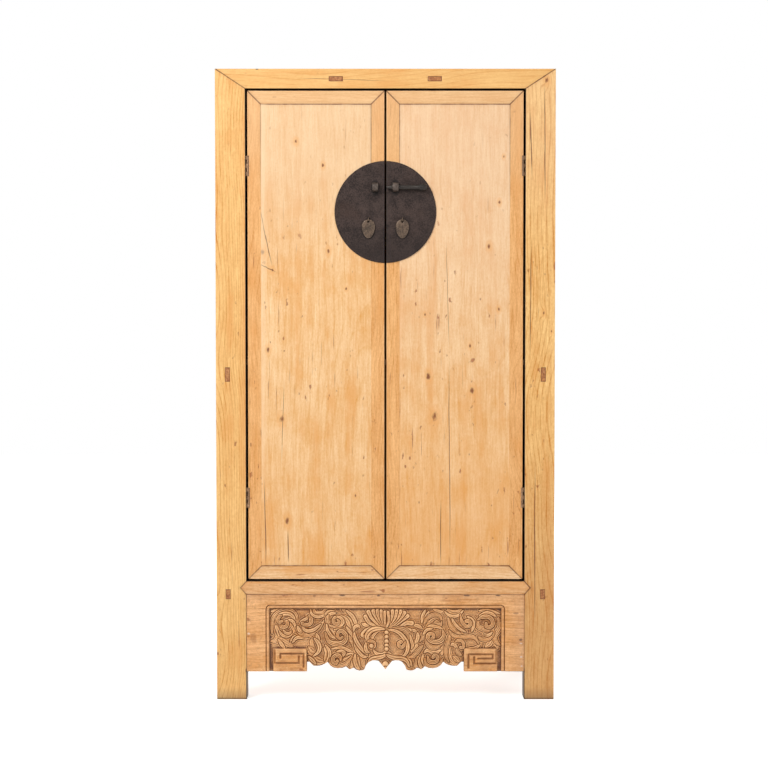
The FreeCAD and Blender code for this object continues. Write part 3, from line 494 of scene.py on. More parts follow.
def elm(name, grain, pale, deep, heart, ring, seed, lines, clouds=0.5, flecks=1.0,
        knots=(), checks=(), light_by_height=(), seams=(), stains_and_shade=(), tenons=()):
    """Elm board: its colour, then seams, stained patches, painted shade and tenon ends laid over it.

    Each stain, and each patch of painted shade, is (limits, strength, colour) with limits (axis, from, to), whose
    fades multiply. The axis x_size is the distance from the cabinet's middle, to either side.
    """
    finish = Finish(name)
    colour, height, pores, (x, y, z) = elm_colour(
        finish, grain, pale, deep, heart, ring, seed, lines, clouds, flecks, knots, checks, light_by_height
    )
    spread = {"x": x, "y": y, "z": z, "x_size": finish.math("ABSOLUTE", x)}
    broken = finish.fade(finish.noise(finish.place(), 24.0, 4.0, 0.65), 0.32, 0.62, 0.6, 1.0) if seams else 1.0
    for seam in seams:
        colour = finish.mix(finish.times(seam_stain(finish, x, z, seam), broken), colour, SEAM_BROWN)
    # Stains, and painted shade in the gaps and on the arrises, are laid on here.
    for limits, strength, stain_and_shade_colour in stains_and_shade:
        share = strength
        for axis, low, high in limits:
            share = finish.times(finish.fade(spread[axis], low, high), share)
        colour = finish.mix(share, colour, stain_and_shade_colour)
    if tenons:
        colour = tenon_ends(finish, colour, spread["x_size"], y, z, tenons)
    finish.bump(height, strength=0.25, depth=0.0006)
    return finish.done(colour, finish.fade(pores, 0.2, 0.8, 0.44, 0.6))


print("boards can have seams, stains and tenon ends")

# %% [markdown]
# Boards meet along lines that we can work out from the frame: the mitres and panel edges of the doors, the mitres of
# the top corners, and the pointed shoulders of the sill rail. These lines become the seams of the boards beside them.

# %% Seams of the front
POST_WIDE, HEAD_HIGH, MEMBER, SHOULDER = 0.090, 0.059, 0.040, 0.018
POST_OUT, TOP = cad_box[1][0], cad_box[1][2]
POST_IN, HEAD = POST_OUT - POST_WIDE, TOP - HEAD_HIGH
SILL_LOW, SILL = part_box("sill_rail")[0][2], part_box("sill_rail")[1][2]
DOOR_OUT, DOOR_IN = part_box("right_hinge_stile")[1][0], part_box("right_meeting_stile")[0][0]
DOOR_LOW, DOOR_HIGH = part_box("right_hinge_stile")[0][2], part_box("right_hinge_stile")[1][2]


def mitres(side):
    """Seams of one door: four mitres and four panel edges, as lines (x, z, x, z); side is -1 or 1."""
    out, into = side * DOOR_OUT, side * DOOR_IN
    out_field, in_field = side * (DOOR_OUT - MEMBER), side * (DOOR_IN + MEMBER)
    low_field, high_field = DOOR_LOW + MEMBER, DOOR_HIGH - MEMBER
    return {
        "out_high": (out, DOOR_HIGH, out_field, high_field), "out_low": (out, DOOR_LOW, out_field, low_field),
        "in_high": (into, DOOR_HIGH, in_field, high_field), "in_low": (into, DOOR_LOW, in_field, low_field),
        "out": (out_field, low_field, out_field, high_field), "in": (in_field, low_field, in_field, high_field),
        "low": (out_field, low_field, in_field, low_field), "high": (out_field, high_field, in_field, high_field),
    }


def corner_seam(side):
    """Mitre between a post and the top rail."""
    return (side * POST_OUT, TOP, side * POST_IN, HEAD)


def point_seams(side):
    """The two slopes of the sill rail's pointed shoulder, which lies in the post, and the apron's end below it."""
    tip = (side * (POST_IN + SHOULDER), (SILL + SILL_LOW) / 2)
    foot = (side * POST_IN, SILL_LOW, side * POST_IN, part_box("carved_apron")[0][2])
    return (side * POST_IN, SILL, *tip), (side * POST_IN, SILL_LOW, *tip), foot


LEFT, RIGHT = mitres(-1), mitres(1)
print("seams of a door:", sorted(LEFT))

# %% [markdown]
# Now each board of the front gets elm of its own: its own heart line, ring width and seed, because neighbouring
# boards come from different places in the log. The gaps round the doors and their arrises get black painted shade, as
# do the inner faces of the legs below the apron, and the feet have turned grey.

# %% Posts and rails of the front
POST_PALE, POST_DEEP = srgb(247, 200, 130), srgb(213, 149, 72)
# Near black for painted shade, partly soot, in the gaps, on their arrises and below the apron; it also darkens the
# lowest millimetres of each leg. Grey for worn feet, and a pale for bleached wood and for painted light high up.
SHADE_AND_SOOT, FOOT_GREY, BLEACHED_AND_LIT = srgb(10, 7, 5), srgb(120, 92, 68), srgb(252, 218, 176)
# Painted shade in a gap begins just behind the front face. That on the arris beside it ends a few millimetres behind
# it.
GAP_DEPTH = ("y", FRONT + 0.0001, FRONT + 0.0009)
ARRIS_DEPTH = ("y", FRONT + 0.004, FRONT + 0.001)
DOOR_SPAN = (("z", SILL - 0.004, SILL), ("z", HEAD + 0.004, HEAD))
FOOT_STAIN = ((("z", 0.045, 0.0),), 0.5, FOOT_GREY)
# The posts get painted shade in the door gap and on the arris beside it, grey feet, the lowest 8 mm of each leg
# darkened nearly black, and painted shade on the inner face below the apron.
POST_SHADE_AND_STAINS = (
    ((GAP_DEPTH, ("x_size", POST_IN + 0.003, POST_IN + 0.0016), *DOOR_SPAN), 0.95, SHADE_AND_SOOT),
    ((ARRIS_DEPTH, ("x_size", POST_IN + 0.0016, POST_IN + 0.0009), *DOOR_SPAN), 0.9, SHADE_AND_SOOT),
    FOOT_STAIN,
    ((("z", 0.008, 0.0),), 0.7, SHADE_AND_SOOT),
    ((("z", 0.100, 0.086), ("x_size", POST_IN + 0.003, POST_IN + 0.0014)), 0.85, SHADE_AND_SOOT),
)
# Painted shade of a small chip in the top edge.
TOP_CHIP_SHADE = (
    ("x", -0.389, -0.386), ("x", -0.379, -0.382), ("z", TOP - 0.005, TOP - 0.002), ("y", FRONT + 0.008, FRONT),
)
# Painted shade on the sill's arris beside the door gap.
SILL_ARRIS = (ARRIS_DEPTH, ("z", SILL - 0.0016, SILL - 0.0009), ("x_size", POST_IN + 0.002, POST_IN))

finishes = {
    "front_left_post": elm(
        "elm_front_left_post", "z", POST_PALE, POST_DEEP, heart=(-0.517, -0.212), ring=0.0062, seed=1.3,
        lines=0.85, clouds=0.4, flecks=0.9, seams=(corner_seam(-1), *point_seams(-1)), stains_and_shade=POST_SHADE_AND_STAINS,
    ),
    "front_right_post": elm(
        "elm_front_right_post", "z", POST_PALE, POST_DEEP, heart=(0.55, -0.14), ring=0.0072, seed=4.7,
        lines=0.85, clouds=0.55, flecks=1.2,
        knots=((0.482, 1.866, 0.006), (0.476, 1.170, 0.004), (0.500, 1.115, 0.003)),
        checks=((0.436, 1.56, 1.79, 0.0024, 0.03), (0.437, 1.02, 1.40, 0.0022, -0.01),
                (0.478, 1.49, 1.88, 0.0020, 0.01), (0.452, 0.20, 0.75, 0.0016, 0.0)),
        seams=(corner_seam(1), *point_seams(1)),
        # Painted shade deeper below and painted light paler at the top.
        light_by_height=((0.9, 0.2, 0.42, srgb(176, 114, 64)), (1.3, 1.7, 0.25, BLEACHED_AND_LIT)), stains_and_shade=POST_SHADE_AND_STAINS,
    ),
    "top_front_rail": elm(
        "elm_top_front_rail", "x", POST_PALE, POST_DEEP, heart=(1.96, -0.14), ring=0.009, seed=2.9,
        lines=0.35, clouds=0.25, flecks=0.55,
        checks=((1.868, -0.28, 0.02, 0.0010, 0.03),), seams=(corner_seam(-1), corner_seam(1)),
        # Painted shade under the top rail in the door gap, and at the chip.
        stains_and_shade=(((GAP_DEPTH, ("z", HEAD + 0.003, HEAD + 0.0016)), 0.95, SHADE_AND_SOOT), (TOP_CHIP_SHADE, 0.8, SHADE_AND_SOOT)),
    ),
    "sill_rail": elm(
        "elm_sill_rail", "x", srgb(237, 188, 136), srgb(210, 148, 86), heart=(0.42, -0.12), ring=0.0055, seed=2.2,
        lines=0.45, clouds=0.6, flecks=1.4,
        seams=(*point_seams(-1), *point_seams(1), (-POST_IN, SILL_LOW, POST_IN, SILL_LOW)),
        # Painted shade on the sill in the door gap and on its arris.
        stains_and_shade=(((GAP_DEPTH, ("z", SILL - 0.003, SILL - 0.0016)), 0.95, SHADE_AND_SOOT), (SILL_ARRIS, 0.9, SHADE_AND_SOOT)),
    ),
}
print("posts and rails of the front:", sorted(finishes))

# %% [markdown]
# The door panels are the largest surfaces of the front, so their larger knots and checks stand where the real ones
# do. Each panel gets painted light, paler towards the top, and painted shade, more amber below.

# %% Door panels
PANEL_PALE, PANEL_DEEP = srgb(247, 206, 155), srgb(225, 163, 88)

finishes["left_door_panel"] = elm(
    "elm_left_panel", "z", PANEL_PALE, PANEL_DEEP, heart=(-0.05, -0.05), ring=0.012, seed=7.7,
    lines=0.25, clouds=0.65, flecks=1.1,
    knots=((-0.268, 1.683, 0.0045), (-0.187, 1.612, 0.004), (-0.170, 1.355, 0.005), (-0.369, 1.352, 0.006),
           (-0.339, 1.299, 0.004), (-0.118, 1.243, 0.003), (-0.353, 1.060, 0.005), (-0.312, 0.849, 0.007),
           (-0.296, 0.543, 0.007), (-0.09, 0.62, 0.004)),
    checks=((-0.361, 0.40, 0.68, 0.0020, 0.02), (-0.294, 0.41, 0.52, 0.0020, 0.0), (-0.361, 1.30, 1.51, 0.0020, 0.21),
            (-0.362, 1.290, 1.328, 0.0045, 2.07), (-0.31, 0.70, 0.98, 0.0010, -0.03)),
    seams=(LEFT["out"], LEFT["in"], LEFT["low"], LEFT["high"]),
    # Painted shade more amber below and painted light paler at the top; then a bleached patch.
    light_by_height=((1.0, 0.45, 0.12, AMBER), (1.20, 1.65, 0.45, srgb(234, 203, 168))),
    stains_and_shade=(((("x", -0.350, -0.372), ("z", 0.45, 0.9)), 0.45, BLEACHED_AND_LIT),),
)
finishes["right_door_panel"] = elm(
    "elm_right_panel", "z", PANEL_PALE, PANEL_DEEP, heart=(0.30, -0.03), ring=0.012, seed=9.1,
    lines=0.25, clouds=0.75, flecks=1.2,
    knots=((0.149, 0.859, 0.010), (0.129, 0.980, 0.007), (0.262, 0.937, 0.007), (0.119, 1.165, 0.003),
           (0.255, 1.071, 0.004), (0.355, 1.639, 0.003), (0.342, 1.502, 0.004), (0.312, 1.370, 0.005),
           (0.341, 1.182, 0.004)),
    checks=((0.193, 0.41, 1.05, 0.0014, 0.01), (0.186, 1.05, 1.40, 0.0010, 0.02), (0.168, 0.40, 0.62, 0.0016, 0.0)),
    seams=(RIGHT["out"], RIGHT["in"], RIGHT["low"], RIGHT["high"]),
    # Painted light paler at the top and painted shade more amber below.
    light_by_height=((0.65, 1.7, 0.45, srgb(240, 210, 182)), (1.1, 0.45, 0.42, AMBER)),
)
print("door panels:", [name for name in finishes if name.endswith("panel")])

# %% [markdown]
# Both doors have the same four frame members, so a table of them serves both, and only the seed of the noise goes on
# from board to board. The outer edges get painted shade, partly dirt, where they face the gap, the meeting stiles
# black painted shade on their arris, and every member painted light, paler towards the top.

# %% Door frames
STILE_PALE, STILE_DEEP = srgb(240, 184, 121), srgb(211, 145, 74)
HIGH_RAIL_PALE, HIGH_RAIL_DEEP = srgb(238, 192, 136), srgb(213, 153, 87)
LOW_RAIL_PALE, LOW_RAIL_DEEP = srgb(246, 205, 157), srgb(220, 163, 101)
# A pale for painted light at the top of the door frames, and a dark brown for painted shade, partly dirt, on their
# edges in the gap.
TOP_LIGHT_PALE, EDGE_SHADE_AND_DIRT = srgb(236, 192, 144), srgb(64, 44, 28)
DOOR_GAP_DEPTH = ("y", FRONT + 0.0022, FRONT + 0.0034)
# Black painted shade on the arris of each meeting stile.
MEETING_ARRIS = ((ARRIS_DEPTH, ("x_size", DOOR_IN + 0.0011, DOOR_IN + 0.0005)), 0.9, SHADE_AND_SOOT)
EDGE_PLAIN, EDGE_DARK, SEED_STEP = 0.0016, 0.0004, 2.3

for side_name, seams, side, seed in (("left", LEFT, -1, 3.1), ("right", RIGHT, 1, 8.2)):
    for member, keys, grain, heart, pale, deep, (axis, edge_at, inward) in (
        ("hinge_stile", ("out_high", "out_low", "out"), "z", (side * 0.46, -0.10), STILE_PALE, STILE_DEEP,
         ("x_size", DOOR_OUT, -1)),
        ("meeting_stile", ("in_high", "in_low", "in"), "z", (side * -0.06, -0.12), STILE_PALE, STILE_DEEP,
         ("x_size", DOOR_IN, 1)),
        ("door_top_rail", ("out_high", "in_high", "high"), "x", (1.90, -0.12), HIGH_RAIL_PALE, HIGH_RAIL_DEEP,
         ("z", DOOR_HIGH, -1)),
        ("door_bottom_rail", ("out_low", "in_low", "low"), "x", (0.29, -0.12), LOW_RAIL_PALE, LOW_RAIL_DEEP,
         ("z", DOOR_LOW, 1)),
    ):
        seed += SEED_STEP
        # The outer edge gets painted shade, partly dirt, where it lies in the gap.
        outer_edge = (axis, edge_at + EDGE_PLAIN * inward, edge_at + EDGE_DARK * inward)
        edge_shade_and_dirt = ((DOOR_GAP_DEPTH, outer_edge), 0.85, EDGE_SHADE_AND_DIRT)
        finishes[f"{side_name}_{member}"] = elm(
            f"elm_{side_name}_{member}", grain, pale, deep, heart, ring=0.005, seed=seed,
            lines=0.45, clouds=0.6, flecks=1.4,
            # Painted light, paler towards the top.
            seams=[seams[key] for key in keys], light_by_height=((1.45, 1.75, 0.40, TOP_LIGHT_PALE),),
            stains_and_shade=(edge_shade_and_dirt, MEETING_ARRIS) if member == "meeting_stile" else (edge_shade_and_dirt,),
        )
print("boards of the front:", len(finishes))

# %% [markdown]
# The sides, the back and the inside are quieter boards of the same elm. They share a few finishes, one for each
# direction of the grain. Rails whose tenons come through the posts show their end grain there, which drinks in
# dirt and is darker.

# %% Boards of the sides, back and inside
# Ends of tenons: distance from the cabinet's middle, height, half width and half height.
TOP_TENON = (0.148, 1.870, 0.021, 0.0073)
MIDDLE_TENON = (0.4755, 0.985, 0.0075, 0.0215)
BOTTOM_TENON = (0.4755, SILL - 0.040, 0.0075, 0.015)

upright_elm = elm("elm_upright", "z", POST_PALE, POST_DEEP, heart=(0.02, 0.52), ring=0.007, seed=1.9, lines=0.45,
                  stains_and_shade=(FOOT_STAIN,))
level_elm = elm("elm_level", "x", STILE_PALE, STILE_DEEP, heart=(1.1, 0.6), ring=0.007, seed=3.7, lines=0.45)
deep_elm = elm("elm_front_to_back", "y", STILE_PALE, STILE_DEEP, heart=(0.05, 1.1), ring=0.007, seed=5.9, lines=0.45,
               tenons=(TOP_TENON, MIDDLE_TENON, BOTTOM_TENON))
board_elm = elm("elm_board", "x", PANEL_PALE, PANEL_DEEP, heart=(0.02, -0.6), ring=0.010, seed=6.1, lines=0.35)
panel_elm = elm("elm_side_panel", "z", PANEL_PALE, PANEL_DEEP, heart=(0.05, 0.02), ring=0.010, seed=8.8, lines=0.35)
LEVEL = ("rear_bottom_rail", "rear_middle_rail", "top_rear_rail", "left_door_battens", "right_door_battens",
         "carved_apron")
DEEP = ("top_left_rail", "top_right_rail", "top_battens", "side_aprons", "left_middle_rail", "right_middle_rail",
        "left_bottom_rail", "right_bottom_rail")
for name in nodes:
    if name in finishes:
        continue
    if name in ("rear_left_post", "rear_right_post"):
        finishes[name] = upright_elm
    elif name in LEVEL:
        finishes[name] = level_elm
    elif name in DEEP:
        finishes[name] = deep_elm
    elif name in ("shelf", "floor_board", "top_panel"):
        finishes[name] = board_elm
    elif name.endswith("panel"):
        finishes[name] = panel_elm
print("elm boards:", len(finishes))

# %% [markdown]
# The face plate, its bolt and its pulls are old iron and bronze, and the hinges are brass. Their colour is nearly
# black-brown on the plate and lighter on what hands have rubbed, and it shifts in clouds. A dull surface with
# broken-up roughness and a little metal looks like that.

# %% Iron and bronze
RUST_BROWN, SHADOW_AND_DIRT_BLACK = srgb(62, 42, 32), srgb(16, 12, 11)


def old_metal(name, dark, worn, roughness, seed, wear=0.6, dim=None, shadow_smudges=()):
    """Dark metal: broad noise mixes the dark and worn colours, fine noise breaks up the gloss and the surface.

    dim gives two heights, from the first to the second of which the colour falls towards the dark one. The ovals in
    the last argument are dark patches on the front, painted shadow of a fitting with old dirt: each gives its middle
    right and up, and its half width and half height.
    """
    finish = Finish(name, roughness, metallic=0.25)
    finish.shader.inputs["Specular IOR Level"].default_value = 0.3
    x, y, z = finish.split(finish.place())
    moved = finish.join(finish.add(x, seed), y, z)
    cloud = finish.noise(moved, 30.0, 6.0, 0.78)
    speck = finish.noise(moved, 240.0, 4.0, 0.7)
    rub = finish.add(finish.times(cloud, 0.6), finish.times(speck, 0.4))
    colour = finish.mix(finish.fade(rub, 0.36, 0.64, 0.0, wear), dark, worn)
    rust = finish.noise(moved, 9.0, 4.0)
    colour = finish.mix(finish.fade(rust, 0.5, 0.72, 0.0, 0.35), colour, RUST_BROWN)
    if dim:
        colour = finish.mix(finish.fade(z, *dim, 0.0, 0.5), colour, dark)
    # Dark ovals: painted shadow of the fittings, with old dirt.
    for shadow_smudge in shadow_smudges:
        away = finish.oval(x, z, *shadow_smudge)
        colour = finish.mix(finish.fade(away, 0.9, 1.2, 0.7, 0.0), colour, SHADOW_AND_DIRT_BLACK)
    finish.bump(finish.add(speck, finish.times(cloud, 1.5)), strength=0.35, depth=0.0010)
    return finish.done(colour, finish.fade(rub, 0.3, 0.7, roughness + 0.1, roughness - 0.12))


# Around and below each pull and collar, the plate is darkened a little way out: painted shadow of the fitting, with
# old dirt.
plate_shadow_and_dirt = []
for side_name in ("left", "right"):
    for fitting, margin in (("pull", 0.0012), ("bolt_collar", 0.0035)):
        low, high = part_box(f"{side_name}_{fitting}")
        plate_shadow_and_dirt.append(((low[0] + high[0]) / 2, (low[2] + high[2]) / 2 - margin / 2,
                           (high[0] - low[0]) / 2 + margin, (high[2] - low[2]) / 2 + margin))
plate_iron = old_metal(
    "plate_iron", srgb(34, 25, 23), srgb(74, 59, 54), roughness=0.62, seed=0.0, wear=0.85, dim=(1.45, 1.34),
    shadow_smudges=plate_shadow_and_dirt,
)
collar_iron = old_metal("collar_iron", srgb(44, 36, 33), srgb(112, 99, 91), roughness=0.42, seed=3.0, wear=0.75)
bolt_iron = old_metal("bolt_iron", srgb(34, 30, 28), srgb(74, 67, 62), roughness=0.46, seed=2.0)
fitting_bronze = old_metal("fitting_bronze", srgb(68, 56, 47), srgb(126, 105, 88), roughness=0.46, seed=5.0, wear=0.8)
hinge_brass = old_metal("hinge_brass", srgb(120, 92, 68), srgb(206, 164, 126), roughness=0.5, seed=7.0)
for name in nodes:
    if "face_plate" in name:
        finishes[name] = plate_iron
    elif name == "bolt":
        finishes[name] = bolt_iron
    elif "collar" in name:
        finishes[name] = collar_iron
    elif "pull" in name:
        finishes[name] = fitting_bronze
    elif "hinge_" in name and "stile" not in name:
        finishes[name] = hinge_brass
print("nodes without a finish:", sorted(set(nodes) - set(finishes)))

# %% [markdown]
# Real boards have no knife edges: hands, planes and time round every arris. The packed meshes are loose triangles,
# so a Weld modifier first joins them, and a Bevel modifier then rounds only the edges that turn sharply. The
# meshes themselves stay as they are. Door panels lie flush in their frames, and hinges are small, so both keep their
# edges.

# %% Soft edges
WOOD_ARRIS = 0.0012
METAL_ARRIS = 0.0004
WELD_REACH = 0.00001
SHARP_TURN = math.radians(40.0)


def soften(board, width):
    """Welds the loose triangles and rounds every edge that turns sharply by the given width."""
    weld = board.modifiers.new("weld", "WELD")
    weld.merge_threshold = WELD_REACH
    bevel = board.modifiers.new("arris", "BEVEL")
    bevel.width = width
    bevel.segments = 2
    bevel.limit_method = "ANGLE"
    bevel.angle_limit = SHARP_TURN


for name, board in nodes.items():
    board.data.materials.clear()
    board.data.materials.append(finishes[name])
    if name.endswith("door_panel") or ("hinge_" in name and "stile" not in name):
        continue
    is_metal = any(word in name for word in ("plate", "bolt", "pull"))
    soften(board, METAL_ARRIS if is_metal else WOOD_ARRIS)
print("edges softened")

# %% [markdown]
# The apron under the doors is the showpiece: a board with a beaded border, a lotus in the middle, scrolling leaves
# to both sides and a squared fret at each end. Carving is a height above a sunken ground. So the face is one grid
# whose columns run across and whose rows climb from the scalloped lower edge to the top, and the height at each
# grid point is worked out from strokes. A stroke is a smooth line with a rounded ridge along it. Later strokes lie
# over earlier ones and cut a narrow groove around themselves, just as a carver's gouge outlines each leaf.

# %% The carver's drawing
UNIT = 0.000275
DRAWING_LEFT, DRAWING_TOP = -0.3800, 0.3115
KINDS = ("scroll", "leaf", "broad leaf", "petal", "lobe")
# Places are in drawing units, counted right and down from the drawing's corner. A stroke has the marks that it goes
# through, its half width at its start and at its end, its height from 0 to 1, and the number of its kind, from 0.

LEFT_LEAVES = [
    ([(122, 165), (182, 151), (237, 139)], 13, 11, 0.55, 1),
    ([(133, 217), (174, 187), (231, 168)], 13, 11, 0.60, 1),
    ([(149, 359), (190, 395), (201, 447), (163, 488), (119, 494)], 25, 22, 0.55, 2),
    ([(163, 296), (188, 354), (208, 409), (206, 455)], 16, 13, 0.62, 1),
    ([(215, 461), (286, 502), (363, 557)], 34, 27, 0.55, 2),
    ([(204, 474), (242, 535), (278, 578)], 16, 13, 0.66, 1),
    ([(133, 409), (133, 305), (155, 233), (210, 181), (281, 157), (347, 168), (388, 206), (404, 258),
      (401, 318)], 25, 23, 0.66, 2),
    ([(179, 299), (185, 250), (221, 206), (275, 187), (336, 198), (374, 239), (386, 288)], 19, 16, 0.72, 1),
    ([(215, 376), (240, 422), (292, 440), (336, 422), (349, 392)], 14, 12, 0.70, 1),
    ([(256, 368), (286, 404), (325, 404), (347, 376)], 13, 11, 0.74, 1),
    ([(314, 305), (357, 318), (379, 359), (374, 403)], 23, 19, 0.78, 2),
    ([(303, 261), (344, 262), (379, 299), (391, 357)], 14, 12, 0.82, 1),
    ([(212, 305), (240, 332), (281, 333), (302, 305), (296, 273)], 19, 14, 0.92, 0),
    ([(240, 209), (207, 228), (198, 266), (215, 289), (240, 273)], 16, 13, 0.92, 0),
    ([(390, 428), (363, 463), (333, 497)], 15, 11, 0.70, 1),
    ([(357, 510), (401, 459), (467, 448), (533, 432), (579, 420)], 16, 14, 0.74, 1),
    ([(401, 337), (423, 387), (473, 420), (533, 425), (577, 410), (626, 376), (670, 324),
      (708, 261)], 20, 16, 0.72, 2),
    ([(412, 326), (437, 376), (459, 398)], 16, 11, 0.78, 1),
    ([(470, 326), (489, 365), (533, 380), (588, 369), (631, 339), (672, 302)], 16, 14, 0.80, 1),
    ([(442, 280), (483, 258), (516, 240), (523, 214)], 14, 11, 0.78, 1),
    ([(536, 210), (561, 244), (561, 288), (533, 310), (486, 310), (467, 294)], 20, 14, 0.90, 0),
    ([(593, 140), (609, 181), (648, 194), (692, 179), (715, 143)], 23, 23, 0.52, 1),
    ([(560, 140), (571, 190), (620, 222), (681, 217), (727, 181)], 12, 12, 0.78, 1),
    ([(566, 469), (571, 524), (601, 576)], 19, 13, 0.40, 1),
    ([(620, 409), (640, 463), (656, 524)], 18, 14, 0.66, 1),
    ([(538, 562), (571, 609), (615, 617)], 36, 27, 0.50, 4),
    ([(598, 677), (645, 715), (703, 721)], 33, 27, 0.55, 4),
    ([(598, 461), (638, 507), (658, 562), (641, 617), (585, 663)], 20, 14, 0.78, 1),
    ([(533, 663), (577, 704), (618, 748)], 16, 14, 0.74, 1),
    ([(708, 562), (733, 617), (726, 683), (708, 715)], 18, 14, 0.60, 1),
    ([(719, 535), (758, 589), (769, 644), (748, 704), (714, 740)], 15, 13, 0.78, 1),
    ([(714, 198), (757, 169), (823, 159)], 16, 13, 0.62, 1),
    ([(741, 216), (779, 191), (842, 181)], 14, 12, 0.66, 1),
    ([(905, 140), (955, 173), (1004, 225), (1031, 291)], 21, 16, 0.60, 2),
    ([(949, 151), (1015, 213), (1053, 288), (1061, 335)], 18, 14, 0.70, 1),
    ([(927, 206), (982, 250), (1015, 316), (1023, 365)], 15, 12, 0.70, 1),
    ([(886, 206), (949, 253), (982, 313), (996, 376)], 18, 13, 0.74, 1),
    ([(753, 203), (742, 261), (766, 324)], 20, 16, 0.80, 4),
    ([(840, 220), (886, 233), (914, 272), (897, 310), (845, 333), (790, 331), (763, 310)], 18, 13, 0.80, 1),
    ([(848, 250), (872, 277), (852, 302), (820, 294), (812, 261), (826, 233)], 14, 16, 0.90, 0),
    ([(768, 348), (807, 392), (835, 447)], 23, 16, 0.62, 4),
    ([(733, 305), (746, 376), (785, 432), (831, 465)], 16, 13, 0.72, 1),
    ([(818, 365), (889, 358), (944, 392), (982, 452), (1015, 518), (1038, 581)], 18, 14, 0.74, 2),
    ([(952, 332), (993, 392), (1027, 455)], 14, 11, 0.70, 1),
    ([(719, 398), (760, 494), (840, 525), (919, 505), (949, 447), (928, 400), (889, 379), (859, 404),
      (859, 447), (888, 465), (911, 447)], 27, 10, 0.95, 0),
    ([(949, 554), (993, 592), (1029, 599)], 15, 12, 0.62, 1),
    ([(790, 581), (872, 566), (938, 578), (1004, 611), (1032, 623)], 15, 13, 0.70, 1),
    ([(944, 651), (993, 644), (1029, 628)], 20, 14, 0.66, 1),
    ([(919, 702), (966, 688), (1007, 650)], 18, 13, 0.70, 1),
    ([(944, 746), (982, 726), (1010, 688)], 15, 12, 0.66, 1),
    ([(774, 688), (790, 748), (852, 776), (927, 760), (982, 715), (1015, 663)], 23, 19, 0.76, 2),
    ([(831, 623), (889, 601), (928, 620), (916, 651), (884, 688)], 15, 12, 0.80, 1),
    ([(889, 710), (882, 666), (845, 649), (807, 677), (807, 721), (837, 740), (852, 715)], 20, 14, 0.93, 0),
    ([(1023, 693), (1016, 748), (1004, 806)], 14, 12, 0.66, 1),
    ([(1113, 680), (1127, 726), (1146, 787)], 24, 20, 0.62, 2),
    ([(1081, 672), (1087, 743), (1105, 798)], 15, 12, 0.72, 1),
    ([(1048, 639), (1048, 715), (1070, 781), (1104, 806)], 18, 14, 0.76, 1),
    ([(1037, 507), (1064, 578), (1104, 634), (1146, 667), (1193, 661)], 15, 13, 0.78, 1),
    ([(1040, 392), (1049, 463), (1087, 536), (1136, 598), (1190, 650)], 18, 14, 0.84, 1),
    ([(1032, 387), (1042, 339), (1081, 322), (1098, 346)], 14, 12, 0.84, 1),
    ([(1124, 299), (1163, 316), (1201, 326)], 16, 12, 0.60, 1),
]
LOTUS = [
    ([(1379, 357), (1305, 343), (1234, 354), (1174, 381), (1141, 420)], 16, 34, 0.74, 3),
    ([(1379, 357), (1289, 332), (1204, 288), (1163, 222)], 9, 24, 0.74, 3),
    ([(1379, 354), (1297, 305), (1229, 233), (1196, 168)], 8, 24, 0.77, 3),
    ([(1382, 354), (1319, 288), (1267, 211), (1248, 157)], 8, 22, 0.79, 3),
    ([(1383, 354), (1338, 283), (1302, 211), (1294, 154)], 8, 20, 0.81, 3),
    ([(1385, 354), (1357, 283), (1338, 217), (1335, 157)], 8, 19, 0.83, 3),
    ([(1387, 357), (1468, 365), (1544, 343), (1609, 294), (1671, 294)], 10, 28, 0.74, 3),
    ([(1387, 357), (1484, 365), (1571, 348), (1652, 373)], 9, 22, 0.70, 3),
    ([(1387, 355), (1490, 316), (1576, 255), (1627, 214)], 8, 24, 0.77, 3),
    ([(1387, 354), (1479, 305), (1555, 233), (1592, 179)], 8, 23, 0.79, 3),
    ([(1387, 354), (1463, 299), (1522, 228), (1552, 162)], 8, 21, 0.80, 3),
    ([(1387, 354), (1447, 294), (1490, 228), (1507, 159)], 8, 20, 0.82, 3),
    ([(1387, 354), (1430, 288), (1455, 222), (1463, 157)], 8, 19, 0.84, 3),
    ([(1387, 332), (1376, 277), (1374, 222), (1376, 170)], 11, 16, 0.90, 3),
    ([(1398, 332), (1417, 283), (1420, 228), (1412, 173)], 11, 16, 0.92, 3),
    ([(1363, 365), (1302, 380), (1259, 420), (1235, 465), (1218, 488)], 12, 11, 0.66, 1),
    ([(1371, 359), (1289, 354), (1218, 381), (1179, 431), (1185, 474), (1215, 494)], 25, 16, 0.82, 1),
    ([(1171, 507), (1162, 562), (1178, 609), (1209, 620)], 16, 13, 0.76, 1),
    ([(1180, 503), (1218, 490), (1256, 510), (1262, 546), (1231, 557)], 13, 16, 0.88, 0),
    ([(1430, 362), (1517, 359), (1592, 376), (1644, 425), (1636, 477)], 26, 19, 0.80, 2),
    ([(1420, 368), (1484, 376), (1546, 410), (1592, 465), (1624, 526), (1625, 596), (1592, 651),
      (1544, 667)], 19, 15, 0.86, 1),
    ([(1603, 494), (1588, 535), (1565, 563), (1534, 547), (1530, 515), (1555, 502)], 14, 16, 0.88, 0),
    ([(1652, 420), (1668, 485), (1684, 540), (1669, 581)], 14, 12, 0.66, 1),
    ([(1248, 592), (1289, 633), (1344, 639), (1393, 609)], 15, 13, 0.72, 1),
    ([(1414, 611), (1452, 655), (1506, 667), (1560, 661)], 15, 13, 0.72, 1),
    ([(1190, 729), (1234, 691), (1300, 677), (1355, 663), (1401, 633)], 19, 16, 0.84, 1),
    ([(1395, 639), (1430, 663), (1501, 683), (1582, 691), (1625, 726), (1647, 781)], 19, 16, 0.84, 1),
]
